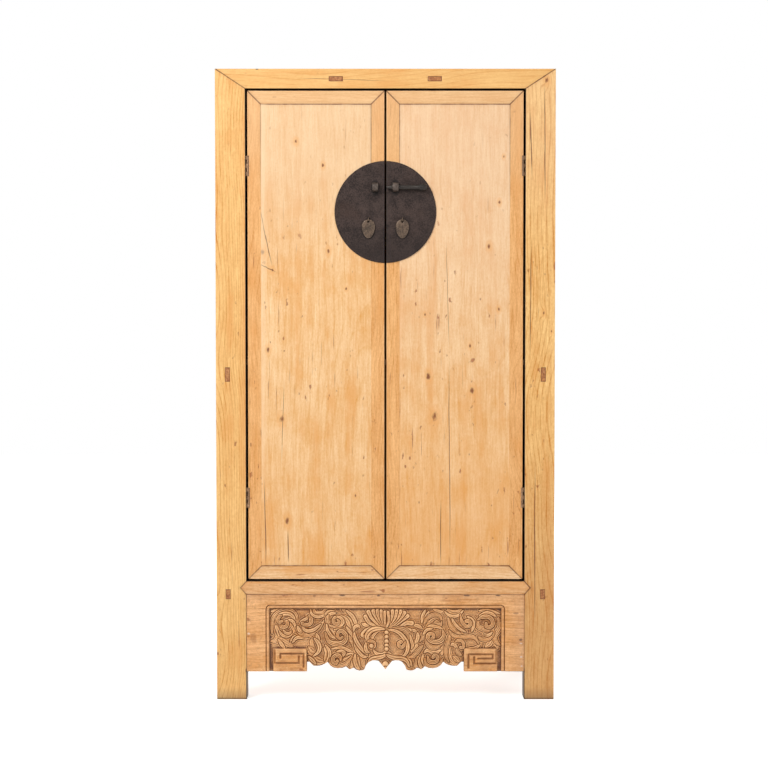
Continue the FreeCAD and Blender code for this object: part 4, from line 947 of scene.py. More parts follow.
RIGHT_LEAVES = [
    ([(1689, 313), (1743, 326), (1792, 357)], 18, 14, 0.58, 1),
    ([(1668, 368), (1700, 376), (1735, 400)], 14, 12, 0.70, 1),
    ([(1738, 398), (1739, 463), (1701, 543)], 18, 14, 0.72, 1),
    ([(1733, 524), (1711, 573), (1665, 617)], 18, 13, 0.70, 1),
    ([(1795, 543), (1746, 595), (1692, 658), (1636, 678)], 22, 15, 0.80, 2),
    ([(1592, 691), (1646, 711), (1669, 770)], 15, 13, 0.72, 1),
    ([(1746, 661), (1734, 726), (1711, 792)], 23, 19, 0.66, 2),
    ([(1766, 666), (1761, 737), (1782, 806)], 16, 13, 0.72, 1),
    ([(1797, 644), (1798, 704), (1824, 754), (1870, 777)], 19, 15, 0.78, 1),
    ([(1822, 146), (1793, 222), (1782, 294)], 16, 13, 0.72, 1),
    ([(1865, 159), (1832, 217), (1813, 258)], 14, 11, 0.74, 1),
    ([(1911, 140), (1970, 162), (2019, 168)], 15, 13, 0.56, 1),
    ([(1851, 310), (1884, 258), (1938, 233), (1967, 255)], 23, 16, 0.66, 4),
    ([(1808, 310), (1835, 251), (1879, 213), (1939, 200), (1987, 225), (2004, 272)], 19, 15, 0.80, 2),
    ([(2002, 272), (1992, 310), (1957, 318), (1930, 299), (1946, 277), (1967, 288)], 14, 13, 0.90, 0),
    ([(1841, 346), (1884, 326), (1959, 335), (2016, 362)], 15, 12, 0.66, 1),
    ([(1824, 337), (1831, 381), (1795, 452), (1762, 502)], 20, 14, 0.78, 2),
    ([(1797, 420), (1841, 368), (1905, 355)], 14, 11, 0.72, 1),
    ([(2008, 535), (2013, 595), (2000, 650)], 19, 15, 0.66, 1),
    ([(1808, 620), (1851, 595), (1905, 618), (1951, 617), (2000, 589)], 19, 14, 0.68, 1),
    ([(1835, 420), (1841, 502), (1886, 559), (1951, 559), (2016, 515)], 22, 19, 0.70, 2),
    ([(2013, 376), (2027, 431), (1997, 483), (1938, 502), (1881, 486), (1850, 447), (1865, 414), (1905, 417),
      (1916, 447), (1897, 458)], 25, 12, 0.95, 0),
    ([(1819, 683), (1841, 748), (1911, 776), (1981, 748), (2016, 688)], 23, 20, 0.76, 2),
    ([(1849, 661), (1862, 710), (1905, 727), (1950, 710), (1957, 669), (1927, 649), (1908, 672)], 20, 14, 0.93, 0),
    ([(2067, 140), (2116, 173), (2175, 173), (2216, 143)], 23, 23, 0.52, 1),
    ([(2035, 162), (2078, 202), (2137, 218), (2197, 200), (2243, 148)], 13, 13, 0.78, 1),
    ([(2067, 420), (2058, 485), (2035, 554)], 15, 12, 0.66, 1),
    ([(2094, 562), (2083, 628), (2106, 699), (2159, 748), (2181, 795)], 33, 24, 0.60, 2),
    ([(2132, 661), (2170, 699), (2199, 729)], 23, 16, 0.66, 4),
    ([(2102, 392), (2089, 452), (2068, 524), (2051, 589), (2056, 672), (2084, 729)], 19, 15, 0.80, 2),
    ([(2159, 324), (2213, 362), (2270, 392)], 13, 11, 0.66, 1),
    ([(2116, 239), (2143, 299), (2197, 354), (2272, 393)], 16, 13, 0.70, 1),
    ([(2073, 236), (2105, 321), (2154, 376), (2221, 421)], 20, 15, 0.76, 2),
    ([(2359, 233), (2376, 299), (2370, 368)], 14, 12, 0.66, 1),
    ([(2288, 220), (2337, 261), (2354, 316), (2334, 389)], 19, 15, 0.80, 1),
    ([(2208, 196), (2220, 258), (2243, 302), (2280, 332), (2318, 312), (2308, 274), (2276, 272)], 14, 17, 0.88, 0),
    ([(2261, 576), (2359, 570), (2404, 551), (2426, 524)], 13, 11, 0.60, 1),
    ([(2083, 376), (2127, 425), (2197, 452), (2267, 443), (2337, 443), (2380, 470), (2414, 526)], 20, 15, 0.82, 2),
    ([(2105, 543), (2128, 528), (2159, 551), (2165, 600)], 16, 13, 0.70, 1),
    ([(2164, 578), (2187, 628), (2225, 652)], 19, 15, 0.70, 2),
    ([(2148, 507), (2181, 485), (2224, 492), (2246, 530), (2237, 565), (2210, 562)], 14, 13, 0.86, 0),
    ([(2574, 507), (2607, 540), (2624, 576)], 20, 15, 0.56, 1),
    ([(2553, 485), (2529, 524), (2485, 559)], 27, 19, 0.60, 4),
    ([(2596, 214), (2635, 266), (2646, 332), (2619, 387), (2585, 442), (2608, 507), (2647, 541)], 24, 21, 0.66, 2),
    ([(2413, 157), (2493, 150), (2574, 168), (2647, 191)], 16, 13, 0.62, 1),
    ([(2413, 213), (2491, 179), (2558, 191), (2608, 228)], 15, 13, 0.72, 1),
    ([(2407, 447), (2456, 475), (2520, 465), (2569, 409), (2574, 354)], 21, 15, 0.74, 2),
    ([(2467, 428), (2520, 425), (2564, 392)], 14, 11, 0.78, 1),
    ([(2402, 376), (2423, 359), (2467, 384), (2484, 422)], 14, 11, 0.72, 1),
    ([(2407, 266), (2404, 326), (2453, 355), (2510, 376), (2545, 343)], 23, 16, 0.82, 2),
    ([(2402, 255), (2445, 228), (2504, 221), (2554, 250), (2565, 305), (2538, 337), (2496, 331),
      (2493, 299)], 21, 14, 0.93, 0),
]
# A bead has its middle, right and down, and its radius. A fret groove has the corners of its straight runs.
BEADS = [(1395, 398, 24), (1395, 446, 24), (1395, 494, 24), (1395, 541, 24), (1395, 580, 24), (1229, 544, 25),
         (1382, 752, 36), (1382, 792, 20)]
FRET_GROOVES = [
    [(163, 589), (163, 735), (429, 735), (429, 661)], [(226, 677), (226, 632), (481, 632), (481, 778)],
    [(2299, 787), (2299, 639), (2566, 639), (2566, 685), (2407, 685)],
    [(2608, 595), (2608, 740), (2362, 740), (2362, 669)],
]
strokes = LEFT_LEAVES + RIGHT_LEAVES + LOTUS
print("strokes:", len(strokes), "beads:", len(BEADS), "fret grooves:", len(FRET_GROOVES))

# %% [markdown]
# The lower edge is a row of lobes and points. We give it as a few marks from the middle outwards, and read the
# height between them as straight lines, which at this scale look like cut curves. The grid needs close columns
# only where the board is carved, so the plain ends get wide ones. The lowest rows follow the edge and then settle, so
# that the higher rows run level.

# %% The apron's grid
APRON_HALF, SCALLOP_HIGH = 0.420, 0.033
APRON_FACE, APRON_BACK = FRONT + 0.002, FRONT + 0.028
APRON_LOW, APRON_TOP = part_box("carved_apron")[0][2], SILL_LOW
BLOCK_IN, CARVED_END = 0.567 * APRON_HALF, 0.366
CARVED_SHARE, SETTLED_SHARE = 0.885, 0.4
# The edge's marks: shares of the board's half width, and shares of the scallops' height.
EDGE_X = APRON_HALF * np.array([
    0.0, 0.02, 0.05, 0.07, 0.095, 0.12, 0.142, 0.153, 0.168, 0.19, 0.21, 0.228, 0.245, 0.26, 0.285,
    0.31, 0.345, 0.375, 0.4, 0.418, 0.44, 0.465, 0.495, 0.519, 0.548, 0.5668, 0.5670, 1.0,
])
EDGE_Z = APRON_LOW + SCALLOP_HIGH * np.array([
    0.2, 0.5, 0.95, 0.99, 1.0, 0.86, 0.5, 0.13, 0.07, 0.05, 0.13, 0.31, 0.24, 0.155, 0.44,
    0.31, 0.26, 0.34, 0.55, 0.87, 0.66, 0.53, 0.48, 0.5, 0.86, 0.86, 0.0, 0.0,
])

# Two columns stand close together at the inner side of each fret block, where the lower edge drops straight down.
half_columns = np.unique(np.concatenate([
    np.linspace(0.0, BLOCK_IN - 0.00015, 228), np.linspace(BLOCK_IN + 0.00005, CARVED_END, 122),
    np.linspace(CARVED_END, APRON_HALF, 8),
]))
columns = np.concatenate([-half_columns[:0:-1], half_columns])
edge = np.interp(np.abs(columns), EDGE_X, EDGE_Z)
climb = np.concatenate([np.linspace(0.0, CARVED_SHARE, 198), np.linspace(CARVED_SHARE, 1.0, 7)[1:]])[:, None]
board_x = np.broadcast_to(columns, (len(climb), len(columns))).copy()
settle = np.clip(1.0 - climb / SETTLED_SHARE, 0.0, 1.0) ** 2
board_z = APRON_LOW + climb * (APRON_TOP - APRON_LOW) + settle * (edge - APRON_LOW)
print("grid of the apron:", board_x.shape)

# %% [markdown]
# Each stroke needs a smooth line through its few marks. A Catmull-Rom curve goes through every mark, so what is
# drawn is what comes out. For the grid points near a line we then find their distance from it, and how far along it
# they lie.

# %% Lines on the board


def smooth_line(marks, steps=14):
    """Catmull-Rom curve: on each span a cubic that passes its two marks with slopes taken from their neighbours."""
    marks = np.asarray(marks, dtype=float)
    padded = np.concatenate([2 * marks[:1] - marks[1:2], marks, 2 * marks[-1:] - marks[-2:-1]])
    before, start, end, after = padded[:-3], padded[1:-2], padded[2:-1], padded[3:]
    t = np.linspace(0.0, 1.0, steps, endpoint=False)[None, :, None]
    a, b, c, d = (part[:, None, :] for part in (before, start, end, after))
    curve = 0.5 * (2 * b + (c - a) * t + (2 * a - 5 * b + 4 * c - d) * t**2 + (3 * b - a - 3 * c + d) * t**3)
    return np.concatenate([curve.reshape(-1, 2), marks[-1:]])


def on_board(marks):
    """Drawing units, counted right and down from the drawing's corner, as metres on the board."""
    marks = np.asarray(marks, dtype=float)
    return np.stack([DRAWING_LEFT + UNIT * marks[..., 0], DRAWING_TOP - UNIT * marks[..., 1]], axis=-1)


def nearest(line, reach):
    """Part of the grid within reach of a line, and for its points the distance to it and the place along it."""
    low, high = line.min(axis=0) - reach, line.max(axis=0) + reach
    close_columns = np.flatnonzero((columns > low[0]) & (columns < high[0]))
    close_rows = np.flatnonzero((board_z.max(axis=1) > low[1]) & (board_z.min(axis=1) < high[1]))
    part = (slice(close_rows[0], close_rows[-1] + 1), slice(close_columns[0], close_columns[-1] + 1))
    gap = (board_x[part][..., None] - line[:, 0]) ** 2 + (board_z[part][..., None] - line[:, 1]) ** 2
    pick = gap.argmin(axis=-1)
    return part, np.sqrt(np.take_along_axis(gap, pick[..., None], axis=-1)[..., 0]), pick / (len(line) - 1)


print("first stroke on the board:", on_board(strokes[0][0]).round(4).tolist())

# %% [markdown]
# The distance from a line, divided by the stroke's half width there, tells where a point lies across the ridge. A
# rounded profile gives its height, and one or two flutes are cut along it. Around the ridge come a narrow groove, as
# a gouge leaves it, and a low rim that fills the ground between the leaves. Faint ripples on the ground stand for the
# marks of the tools.

# %% Carving
GROUND, RIPPLE = 0.14, 0.03
GROOVE, GROOVE_REACH, GROOVE_OFF, GROOVE_DEPTH = 0.0011, 0.004, 0.8, 0.9
RIM_HIGH, RIM_OFF = 0.42, 3.4
RIDGE_EDGE, RIDGE_SOFT = 1.05, 0.10
FLUTE_DEPTH, FLUTE_HALF = 0.6, 0.16
FLUTES_AT = {"scroll": (0.34,), "leaf": (0.0,), "broad leaf": (0.0, 0.55), "petal": (0.0,), "lobe": (0.4,)}
FIELD_HALF, FIELD_TOP, FIELD_SOFT = 0.3515, 0.2765, 0.0012


def ramp(inside, soft):
    """Straight rise from 0 on a border to 1 at a small distance inside it."""
    return np.clip(inside / soft, 0.0, 1.0)


def bell(off, half):
    """Rounded bump: 1 where off is zero, and nearly nothing beyond twice the half width."""
    return np.exp(-((off / half) ** 2))


def dome(share):
    """Half round: the square root of one minus the squared share of the half width, and 0 beyond it."""
    return np.sqrt(np.clip(1.0 - share**2, 0.0, 1.0))


def lay(height, part, off, width, ridge):
    """Lays a ridge over what is there: inside its width the ridge rules, then come a narrow groove and a low rim."""
    cover = ramp(RIDGE_EDGE - off / width, RIDGE_SOFT)
    outline = bell(off - width - GROOVE_OFF * GROOVE, GROOVE) * (1.0 - cover)
    rim = RIM_HIGH * bell(off - width - RIM_OFF * GROOVE, GROOVE)
    around = np.maximum(height[part], rim)
    height[part] = around * (1.0 - cover) * (1.0 - GROOVE_DEPTH * outline) + ridge * cover


def carve_stroke(height, marks, wide, narrow, top, kind):
    """Ridge along a line, with flutes cut along it.

    Across, the ridge is rounded. Along, its half width goes from wide to narrow, times a swelling: a leaf is thin at
    both tips, a scroll only where it starts, and a petal not at all.
    """
    kind = KINDS[kind]
    line = smooth_line(on_board(marks))
    part, off, share = nearest(line, 2.2 * max(wide, narrow) * UNIT + GROOVE_REACH)
    if kind == "scroll":
        swell = 0.4 + 0.85 * np.clip(share / 0.2, 0.0, 1.0)
    elif kind == "petal":
        swell = 1.0
    else:
        swell = 0.35 + 1.05 * np.sin(math.pi * share) ** 0.7
    width = (wide + (narrow - wide) * share) * UNIT * swell
    across = np.clip(off / width, 0.0, 1.0)
    ridge = top * (0.5 + 0.5 * dome(across))
    for at in FLUTES_AT[kind]:
        ridge = ridge - FLUTE_DEPTH * top * bell(across - at, FLUTE_HALF)
    lay(height, part, off, width, ridge)


def carve_bead(height, right, down, radius):
    """Half ball on a low foot, around one point."""
    line = on_board([(right, down), (right, down)])
    part, off, _ = nearest(line, 2.0 * radius * UNIT + GROOVE_REACH)
    width = np.full_like(off, radius * UNIT)
    lay(height, part, off, width, 0.35 + 0.6 * dome(off / width))


in_field = ramp(FIELD_HALF - np.abs(board_x), FIELD_SOFT) * ramp(FIELD_TOP - board_z, FIELD_SOFT)
# Waves about a centimetre long, each bent by a slower one.
ripple_across = np.sin(board_x * 640.0 + 3.0 * np.sin(board_z * 210.0))
ripple_up = np.sin(board_z * 720.0 + 2.0 * np.sin(board_x * 160.0))
relief = GROUND + RIPPLE * ripple_across * ripple_up
for stroke in strokes:
    carve_stroke(relief, *stroke)
for bead in BEADS:
    carve_bead(relief, *bead)
print("highest ridge:", round(float(relief.max()), 3))

# %% [markdown]
# At each end of the carving stands a flat block with a squared fret cut into it. A fret groove is a line of straight
# runs, sunk with a soft edge.

# %% Fret blocks
BLOCK_HIGH, BLOCK_OUT, BLOCK_TOP = 0.1535, 0.3400, 0.95
BLOCK_SIDE_SOFT, BLOCK_TOP_SOFT = 0.0010, 0.0014
FRET_DEPTH, FRET_HALF, FRET_REACH = 0.62, 0.0029, 0.008

in_block = (
    ramp(np.abs(board_x) - BLOCK_IN, BLOCK_SIDE_SOFT) * ramp(BLOCK_OUT - np.abs(board_x), BLOCK_SIDE_SOFT)
    * ramp(BLOCK_HIGH - board_z, BLOCK_TOP_SOFT)
)
relief = relief * (1.0 - in_block) + BLOCK_TOP * in_block
for marks in FRET_GROOVES:
    corners = on_board(marks)
    runs = [np.linspace(a, b, 60) for a, b in zip(corners[:-1], corners[1:])]
    part, off, _ = nearest(np.concatenate(runs), FRET_REACH)
    relief[part] -= FRET_DEPTH * np.exp(-((off / FRET_HALF) ** 4)) * in_block[part]
relief = relief * in_field + 1.0 - in_field
print("share of the grid on fret blocks:", round(float(in_block.mean()), 3))

# %% [markdown]
# Around the whole field runs a bead between two fine grooves. Its line climbs from the lower edge, turns a round
# corner and runs level to the middle, and the other half is its mirror image. Last, the arris along the scalloped
# edge is worn down a little.

# %% Border
BEAD_HALF, BEAD_HIGH, BEAD_CORNER, BEAD_WIDTH = 0.3562, 0.2808, 0.007, 0.0040
BEAD_FOOT, BEAD_RISE, BEAD_SOFT, BEAD_REACH = 0.62, 0.36, 0.0007, 0.02
FINE_GROOVE_OFF, FINE_GROOVE_HALF, FINE_GROOVE_DEPTH = 0.0010, 0.0011, 0.6
EDGE_WEAR, EDGE_WEAR_HALF = 0.30, 0.0016

turn = np.linspace(0.0, math.pi / 2, 12)
corner_x = BEAD_HALF - BEAD_CORNER + BEAD_CORNER * np.cos(turn)
corner_z = BEAD_HIGH - BEAD_CORNER + BEAD_CORNER * np.sin(turn)
climb_z = np.linspace(APRON_LOW - 0.01, BEAD_HIGH - BEAD_CORNER, 130)
level_x = np.linspace(BEAD_HALF - BEAD_CORNER, 0.0, 240)
right_bead = np.concatenate([
    np.stack([np.full_like(climb_z, BEAD_HALF), climb_z], axis=-1), np.stack([corner_x, corner_z], axis=-1),
    np.stack([level_x, np.full_like(level_x, BEAD_HIGH)], axis=-1),
])
whole_bead = np.concatenate([right_bead * (-1.0, 1.0), right_bead[-2::-1]])
part, off, _ = nearest(whole_bead, BEAD_REACH)
round_bead = BEAD_FOOT + BEAD_RISE * dome(off / BEAD_WIDTH)
cover = ramp(BEAD_WIDTH - off, BEAD_SOFT)
fine_groove = bell(off - BEAD_WIDTH - FINE_GROOVE_OFF, FINE_GROOVE_HALF) * (1.0 - cover)
relief[part] = (relief[part] * (1.0 - FINE_GROOVE_DEPTH * fine_groove)) * (1.0 - cover) + round_bead * cover
on_bead = np.zeros_like(relief)
on_bead[part] = cover
relief -= EDGE_WEAR * bell(board_z - edge, EDGE_WEAR_HALF)
print("relief from", round(float(relief.min()), 3), "to", round(float(relief.max()), 3))

# %% [markdown]
# The hollows of the carving get painted shade, with dirt and old polish, and the ridges get painted
# highlights, with the paleness that hands leave. A hollow is a place that lies lower than its surroundings, so we
# compare the heights with a blurred copy of themselves. The difference will be stored on the mesh, where the finish
# can read it.

# %% Hollows
NARROW_REACH, NARROW_DIP, BROAD_REACH, BROAD_DIP = 2, 3.4, 9, 3.0
NEAR_GROUND, GROUND_SHADE_AND_DIRT = 0.30, 0.9
PLAIN_RIDGES, FIELD_RIDGES, BLOCK_FAINTER = 0.4, 0.6, 0.45


def blurred(values, reach):
    """Mean of each value and its neighbours within reach, first up and down the grid and then across."""
    for axis in (0, 1):
        wide = np.pad(values, [(reach, reach) if i == axis else (0, 0) for i in (0, 1)], mode="edge")
        total = np.cumsum(np.insert(wide, 0, 0.0, axis=axis), axis=axis)
        count = values.shape[axis]
        high = np.take(total, np.arange(count) + 2 * reach + 1, axis=axis)
        values = (high - np.take(total, np.arange(count), axis=axis)) / (2 * reach + 1)
    return values


# Narrow and broad dips count, and so does lying near the ground. The flat fret blocks get less painted shade and
# dirt, and outside the carved field the painted highlights on the ridges are fainter.
soft_relief = 0.7 * relief + 0.3 * blurred(relief, 1)
narrow_dip = (blurred(soft_relief, NARROW_REACH) - soft_relief) * NARROW_DIP
broad_dip = (blurred(soft_relief, BROAD_REACH) - soft_relief) * BROAD_DIP
near_ground = np.maximum(NEAR_GROUND - soft_relief, 0.0) * GROUND_SHADE_AND_DIRT * in_field
hollow = np.clip(narrow_dip + broad_dip + near_ground, -1.0, 1.0)
ridge_strength = PLAIN_RIDGES + FIELD_RIDGES * in_field * (1.0 - in_block)
hollow = np.where(hollow > 0.0, hollow * (1.0 - BLOCK_FAINTER * in_block), hollow * ridge_strength)
print("hollow from", round(float(hollow.min()), 3), "to", round(float(hollow.max()), 3))

# %% [markdown]
# Now the heights become a solid board in two halves: the carved face in front, a flat back, and strips that close the
# top, the scalloped edge and the two ends. So fine a grid is heavy, which is why it is halved in the middle.

# %% The carved board
CARVED_DEPTH = 0.0085
FACE_TURN = math.radians(72.0)
face_y = APRON_FACE + CARVED_DEPTH * (1.0 - np.clip(soft_relief, 0.0, 1.0))


def carved_half(name, half):
    """Closed half of the board: grid points (column x, face depth, row z), and both edge rows again at the back."""
    rows, count = board_x[:, half].shape
    face = np.stack([board_x[:, half], face_y[:, half], board_z[:, half]], axis=-1).reshape(-1, 3)
    back = np.stack([
        np.stack([columns[half], np.full(count, APRON_BACK), edge[half]], axis=-1),
        np.stack([columns[half], np.full(count, APRON_BACK), np.full(count, APRON_TOP)], axis=-1),
    ]).reshape(-1, 3)
    index = np.arange(rows * count).reshape(rows, count)
    back_low = rows * count + np.arange(count)
    back_top = back_low + count

    def strip(lower, upper):
        return np.stack([lower[:-1], lower[1:], upper[1:], upper[:-1]], axis=-1)

    quads = np.concatenate([
        np.stack([index[:-1, :-1], index[:-1, 1:], index[1:, 1:], index[1:, :-1]], axis=-1).reshape(-1, 4),
        strip(back_low, index[0]), strip(index[-1], back_top), strip(back_top, back_low),
    ])
    ends = [
        [*index[::-1, -1].tolist(), int(back_low[-1]), int(back_top[-1])],
        [*index[:, 0].tolist(), int(back_top[0]), int(back_low[0])],
    ]
    mesh = bpy.data.meshes.new(name)
    mesh.from_pydata(np.concatenate([face, back]).tolist(), [], quads.tolist() + ends)
    for mark, values in (("hollow", hollow), ("carved", np.maximum(in_field, on_bead))):
        layer = mesh.attributes.new(mark, "FLOAT", "POINT")
        on_points = np.concatenate([values[:, half].ravel(), np.zeros(2 * count)])
        layer.data.foreach_set("value", on_points.astype(np.float32))
    mesh.polygons.foreach_set("use_smooth", np.ones(len(mesh.polygons), dtype=bool))
    mesh.set_sharp_from_angle(angle=FACE_TURN)
    board = bpy.data.objects.new(name, mesh)
    scene.collection.objects.link(board)
    return board


middle = len(columns) // 2
apron_halves = {
    "left": carved_half("left_carved_apron_half", slice(0, middle + 1)),
    "right": carved_half("right_carved_apron_half", slice(middle, None)),
}
print("faces:", {side_name: len(half.data.polygons) for side_name, half in apron_halves.items()})

# %% [markdown]
# The carving has the darkest and the palest wood of the cabinet. Over the elm come grime, nicks and chips along the
# upper edge and the ends, a brown rub inside the border, a dull film at the right end, painted shadow of the sill
# along the top, and last painted shade with dirt in the hollows and painted highlights on the ridges.

# %% Carved elm
NICK_BROWN, CHIP_PALE = srgb(70, 40, 24), srgb(240, 224, 208)
GRIME_BROWN, GRIME_PALE, RUB_BROWN = srgb(150, 98, 58), srgb(250, 204, 154), srgb(160, 104, 62)
# Grey for a dull film and for painted shadow of the sill, a pale for painted highlights on the ridges, and a brown
# for painted shade with dirt in the hollows.
FILM_AND_SHADOW_GREY, RIDGE_PALE, HOLLOW_BROWN = srgb(166, 130, 108), srgb(255, 214, 164), srgb(82, 40, 14)
# A nick is an oval: its middle right and up, its half width and half height, its strength and its colour.
NICKS = (
    (-0.130, 0.3165, 0.011, 0.0030, 0.9, NICK_BROWN), (-0.0205, 0.3160, 0.007, 0.0035, 0.9, NICK_BROWN),
    (0.246, 0.3160, 0.012, 0.0034, 0.85, NICK_BROWN), (0.341, 0.3160, 0.011, 0.0030, 0.95, NICK_BROWN),
    (-0.215, 0.3150, 0.006, 0.0040, 0.5, NICK_BROWN), (0.410, 0.181, 0.007, 0.0050, 0.8, NICK_BROWN),
    (0.411, 0.170, 0.006, 0.0030, 0.8, CHIP_PALE), (0.412, 0.129, 0.005, 0.0034, 0.8, CHIP_PALE),
    (0.413, 0.101, 0.004, 0.0034, 0.7, CHIP_PALE), (-0.414, 0.200, 0.005, 0.0045, 0.6, CHIP_PALE),
    (-0.400, 0.186, 0.012, 0.0200, 0.35, KNOT_BROWN), (0.395, 0.262, 0.010, 0.0040, 0.5, KNOT_BROWN),
)


def carved_elm():
    """Elm along the board: browner inside the border, painted shade and dirt in hollows, painted highlights on
    ridges.
    """
    finish = Finish("carved_elm")
    colour, height, pores, (x, _, z) = elm_colour(
        finish, "x", srgb(246, 191, 133), srgb(210, 146, 84), heart=(0.02, -0.10), ring=0.009, seed=12.5,
        lines=0.5, clouds=0.8, flecks=1.7,
    )
    grime = finish.noise(finish.place(), 55.0, 6.0, 0.75)
    colour = finish.mix(finish.fade(grime, 0.52, 0.72, 0.0, 0.5), colour, GRIME_BROWN)
    colour = finish.mix(finish.fade(grime, 0.46, 0.30, 0.0, 0.4), colour, GRIME_PALE)
    for *oval, strength, stain in NICKS:
        away = finish.add(finish.oval(x, z, *oval), finish.swing(grime, 1.6))
        colour = finish.mix(finish.fade(away, 0.5, 1.0, strength, 0.0), colour, stain)
    rub = finish.fade(finish.noise(finish.place(), 34.0, 4.0), 0.35, 0.65, 0.38, 0.0)
    colour = finish.mix(finish.times(finish.mark("carved"), rub), colour, RUB_BROWN)
    # A dull film at the right end, and painted shadow of the sill along the top.
    film_and_sill_shadow = finish.math(
        "MAXIMUM", finish.fade(x, 0.36, 0.43, 0.0, 0.30), finish.fade(z, APRON_TOP - 0.030, APRON_TOP, 0.0, 0.25)
    )
    colour = finish.mix(film_and_sill_shadow, colour, FILM_AND_SHADOW_GREY)
    # Painted highlights on the ridges, and painted shade with dirt in the hollows.
    hollow_mark = finish.mark("hollow")
    colour = finish.mix(finish.fade(hollow_mark, -0.1, -1.0, 0.0, 0.5), colour, RIDGE_PALE)
    colour = finish.mix(finish.times(hollow_mark, 0.95), colour, HOLLOW_BROWN)
    finish.bump(height, strength=0.2, depth=0.0005)
    return finish.done(colour, finish.fade(pores, 0.2, 0.8, 0.42, 0.58))


carved_finish = carved_elm()
for apron_half in apron_halves.values():
    apron_half.data.materials.append(carved_finish)
    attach(apron_half, "carcass")
    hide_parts("carved_apron")
print("nicks and chips:", len(NICKS))

# %% [markdown]
# The bolt, the pulls and the lips of the collars are small, but they catch the light, so they get rounder shapes than
# the packed ones. A shape that closes on itself both ways, such as a holed drop, is a grid whose last row meets the
# first and whose last column meets the first. A bar closes one way only and gets a small flat face at each end. One
# helper makes the mesh for all of them.

# %% Helper for closed shapes
PLATE_PROUD = 0.0005
PLATE_FRONT = FRONT - PLATE_PROUD


def closed_piece(name, points, finish, body, loop=False):
    """Piece from a grid of points (row, column, place), smooth shaded.

    Columns always wrap round. In a loop the rows do too, and otherwise flat faces close the first and last rows.
    """
    rows, count = points.shape[:2]
    index = np.arange(rows * count).reshape(rows, count)
    down, right = np.roll(index, -1, axis=0), np.roll(index, -1, axis=1)
    both = np.roll(down, -1, axis=1)
    quads = np.stack([index, right, both, down], axis=-1)
    if loop:
        faces = quads.reshape(-1, 4).tolist()
    else:
        faces = [*quads[:-1].reshape(-1, 4).tolist(), index[0, ::-1].tolist(), index[-1].tolist()]
    mesh = bpy.data.meshes.new(name)
    mesh.from_pydata(points.reshape(-1, 3).tolist(), [], faces)
    mesh.polygons.foreach_set("use_smooth", np.ones(len(mesh.polygons), dtype=bool))
    mesh.materials.append(finish)
    piece = bpy.data.objects.new(name, mesh)
    scene.collection.objects.link(piece)
    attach(piece, body)
    return piece


print("plate front at", round(PLATE_FRONT, 4))

# %% [markdown]
# Each pull is a drop of cast bronze, like a flat egg with a hole near its top. Every point lies between the hole's
# rim and the drop's outline. The section from rim to outline swells in the middle, so that the face is gently
# domed and ends in a thin raised edge, and the back is flat.

# %% Pulls
MILLIMETRE = 0.001
PULL_SPARE, PULL_HALF, PULL_HOLE_RADIUS = 0.0004, 0.0198, 0.0031
WIDEST_DOWN, HOLE_DOWN = 0.0208, 0.0070
pull_low, pull_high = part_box("right_pull")
EYE_SIDE = (pull_low[0] + pull_high[0]) / 2
PULL_TOP, PULL_LOW = pull_high[2] + PULL_SPARE, pull_low[2] - PULL_SPARE
PULL_WIDEST, PULL_HOLE = PULL_TOP - WIDEST_DOWN, PULL_TOP - HOLE_DOWN
PULL_MIDDLE = (pull_low[1] + pull_high[1]) / 2
# The section from the hole to the outline and back behind: share of that way, and depth in millimetres.
PULL_SECTION = np.array([
    (0.0, 0.2), (0.012, 0.9), (0.05, 1.25), (0.15, 1.5), (0.3, 1.9), (0.45, 2.1), (0.6, 2.0), (0.74, 1.6),
    (0.84, 1.1), (0.90, 0.75), (0.93, 0.95), (0.965, 1.15), (0.99, 0.9), (1.0, 0.2), (0.995, -0.7),
    (0.96, -1.1), (0.5, -1.15), (0.05, -1.1), (0.012, -0.7),
])


def pull_points(side):
    """Drop: its outline is two half ellipses, narrower below, and its section is carried round the hole."""
    turn = np.linspace(0.0, 2 * math.pi, 96, endpoint=False)
    up = np.sin(turn)
    tall = np.where(up > 0, PULL_TOP - PULL_WIDEST, PULL_WIDEST - PULL_LOW)
    wide = PULL_HALF * (1.0 - 0.10 * np.clip(-up, 0.0, 1.0) ** 2)
    outline = np.stack([wide * np.cos(turn), PULL_WIDEST + tall * up], axis=-1)
    hole = np.stack([PULL_HOLE_RADIUS * np.cos(turn), PULL_HOLE + PULL_HOLE_RADIUS * up], axis=-1)
    share, depth = PULL_SECTION[:, 0][:, None, None], PULL_SECTION[:, 1]
    flat = hole[None] + (outline - hole)[None] * share
    points = np.empty((len(PULL_SECTION), len(turn), 3))
    points[..., 0] = flat[..., 0] + side * EYE_SIDE
    points[..., 1] = PULL_MIDDLE - MILLIMETRE * depth[:, None]
    points[..., 2] = flat[..., 1]
    # The columns are turned round, so that the faces look outwards.
    return points[:, ::-1]


for side_name, side in (("left", -1), ("right", 1)):
    drop = closed_piece(
        f"{side_name}_pull_drop", pull_points(side), fitting_bronze, f"{side_name}_pull", loop=True
    )
    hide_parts(f"{side_name}_pull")
print("pulls:", round(PULL_TOP - PULL_LOW, 4), "m tall")

# %% [markdown]
# The bolt was forged and filed round: a nose that finds its way into the collars, a straight shank and a stout head.
# Turning a line of radii around the bolt's axis gives that, and small steps at its corners keep them soft. The head
# is filed flat behind, where it slides along the plate, so depth there is cut off.

# %% Bolt
bolt_low, bolt_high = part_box("bolt")
HEAD_RADIUS, HEAD_LONG = 0.011, 0.024
BOLT_Y = bolt_low[1] + HEAD_RADIUS
BOLT_Z = (bolt_low[2] + bolt_high[2]) / 2


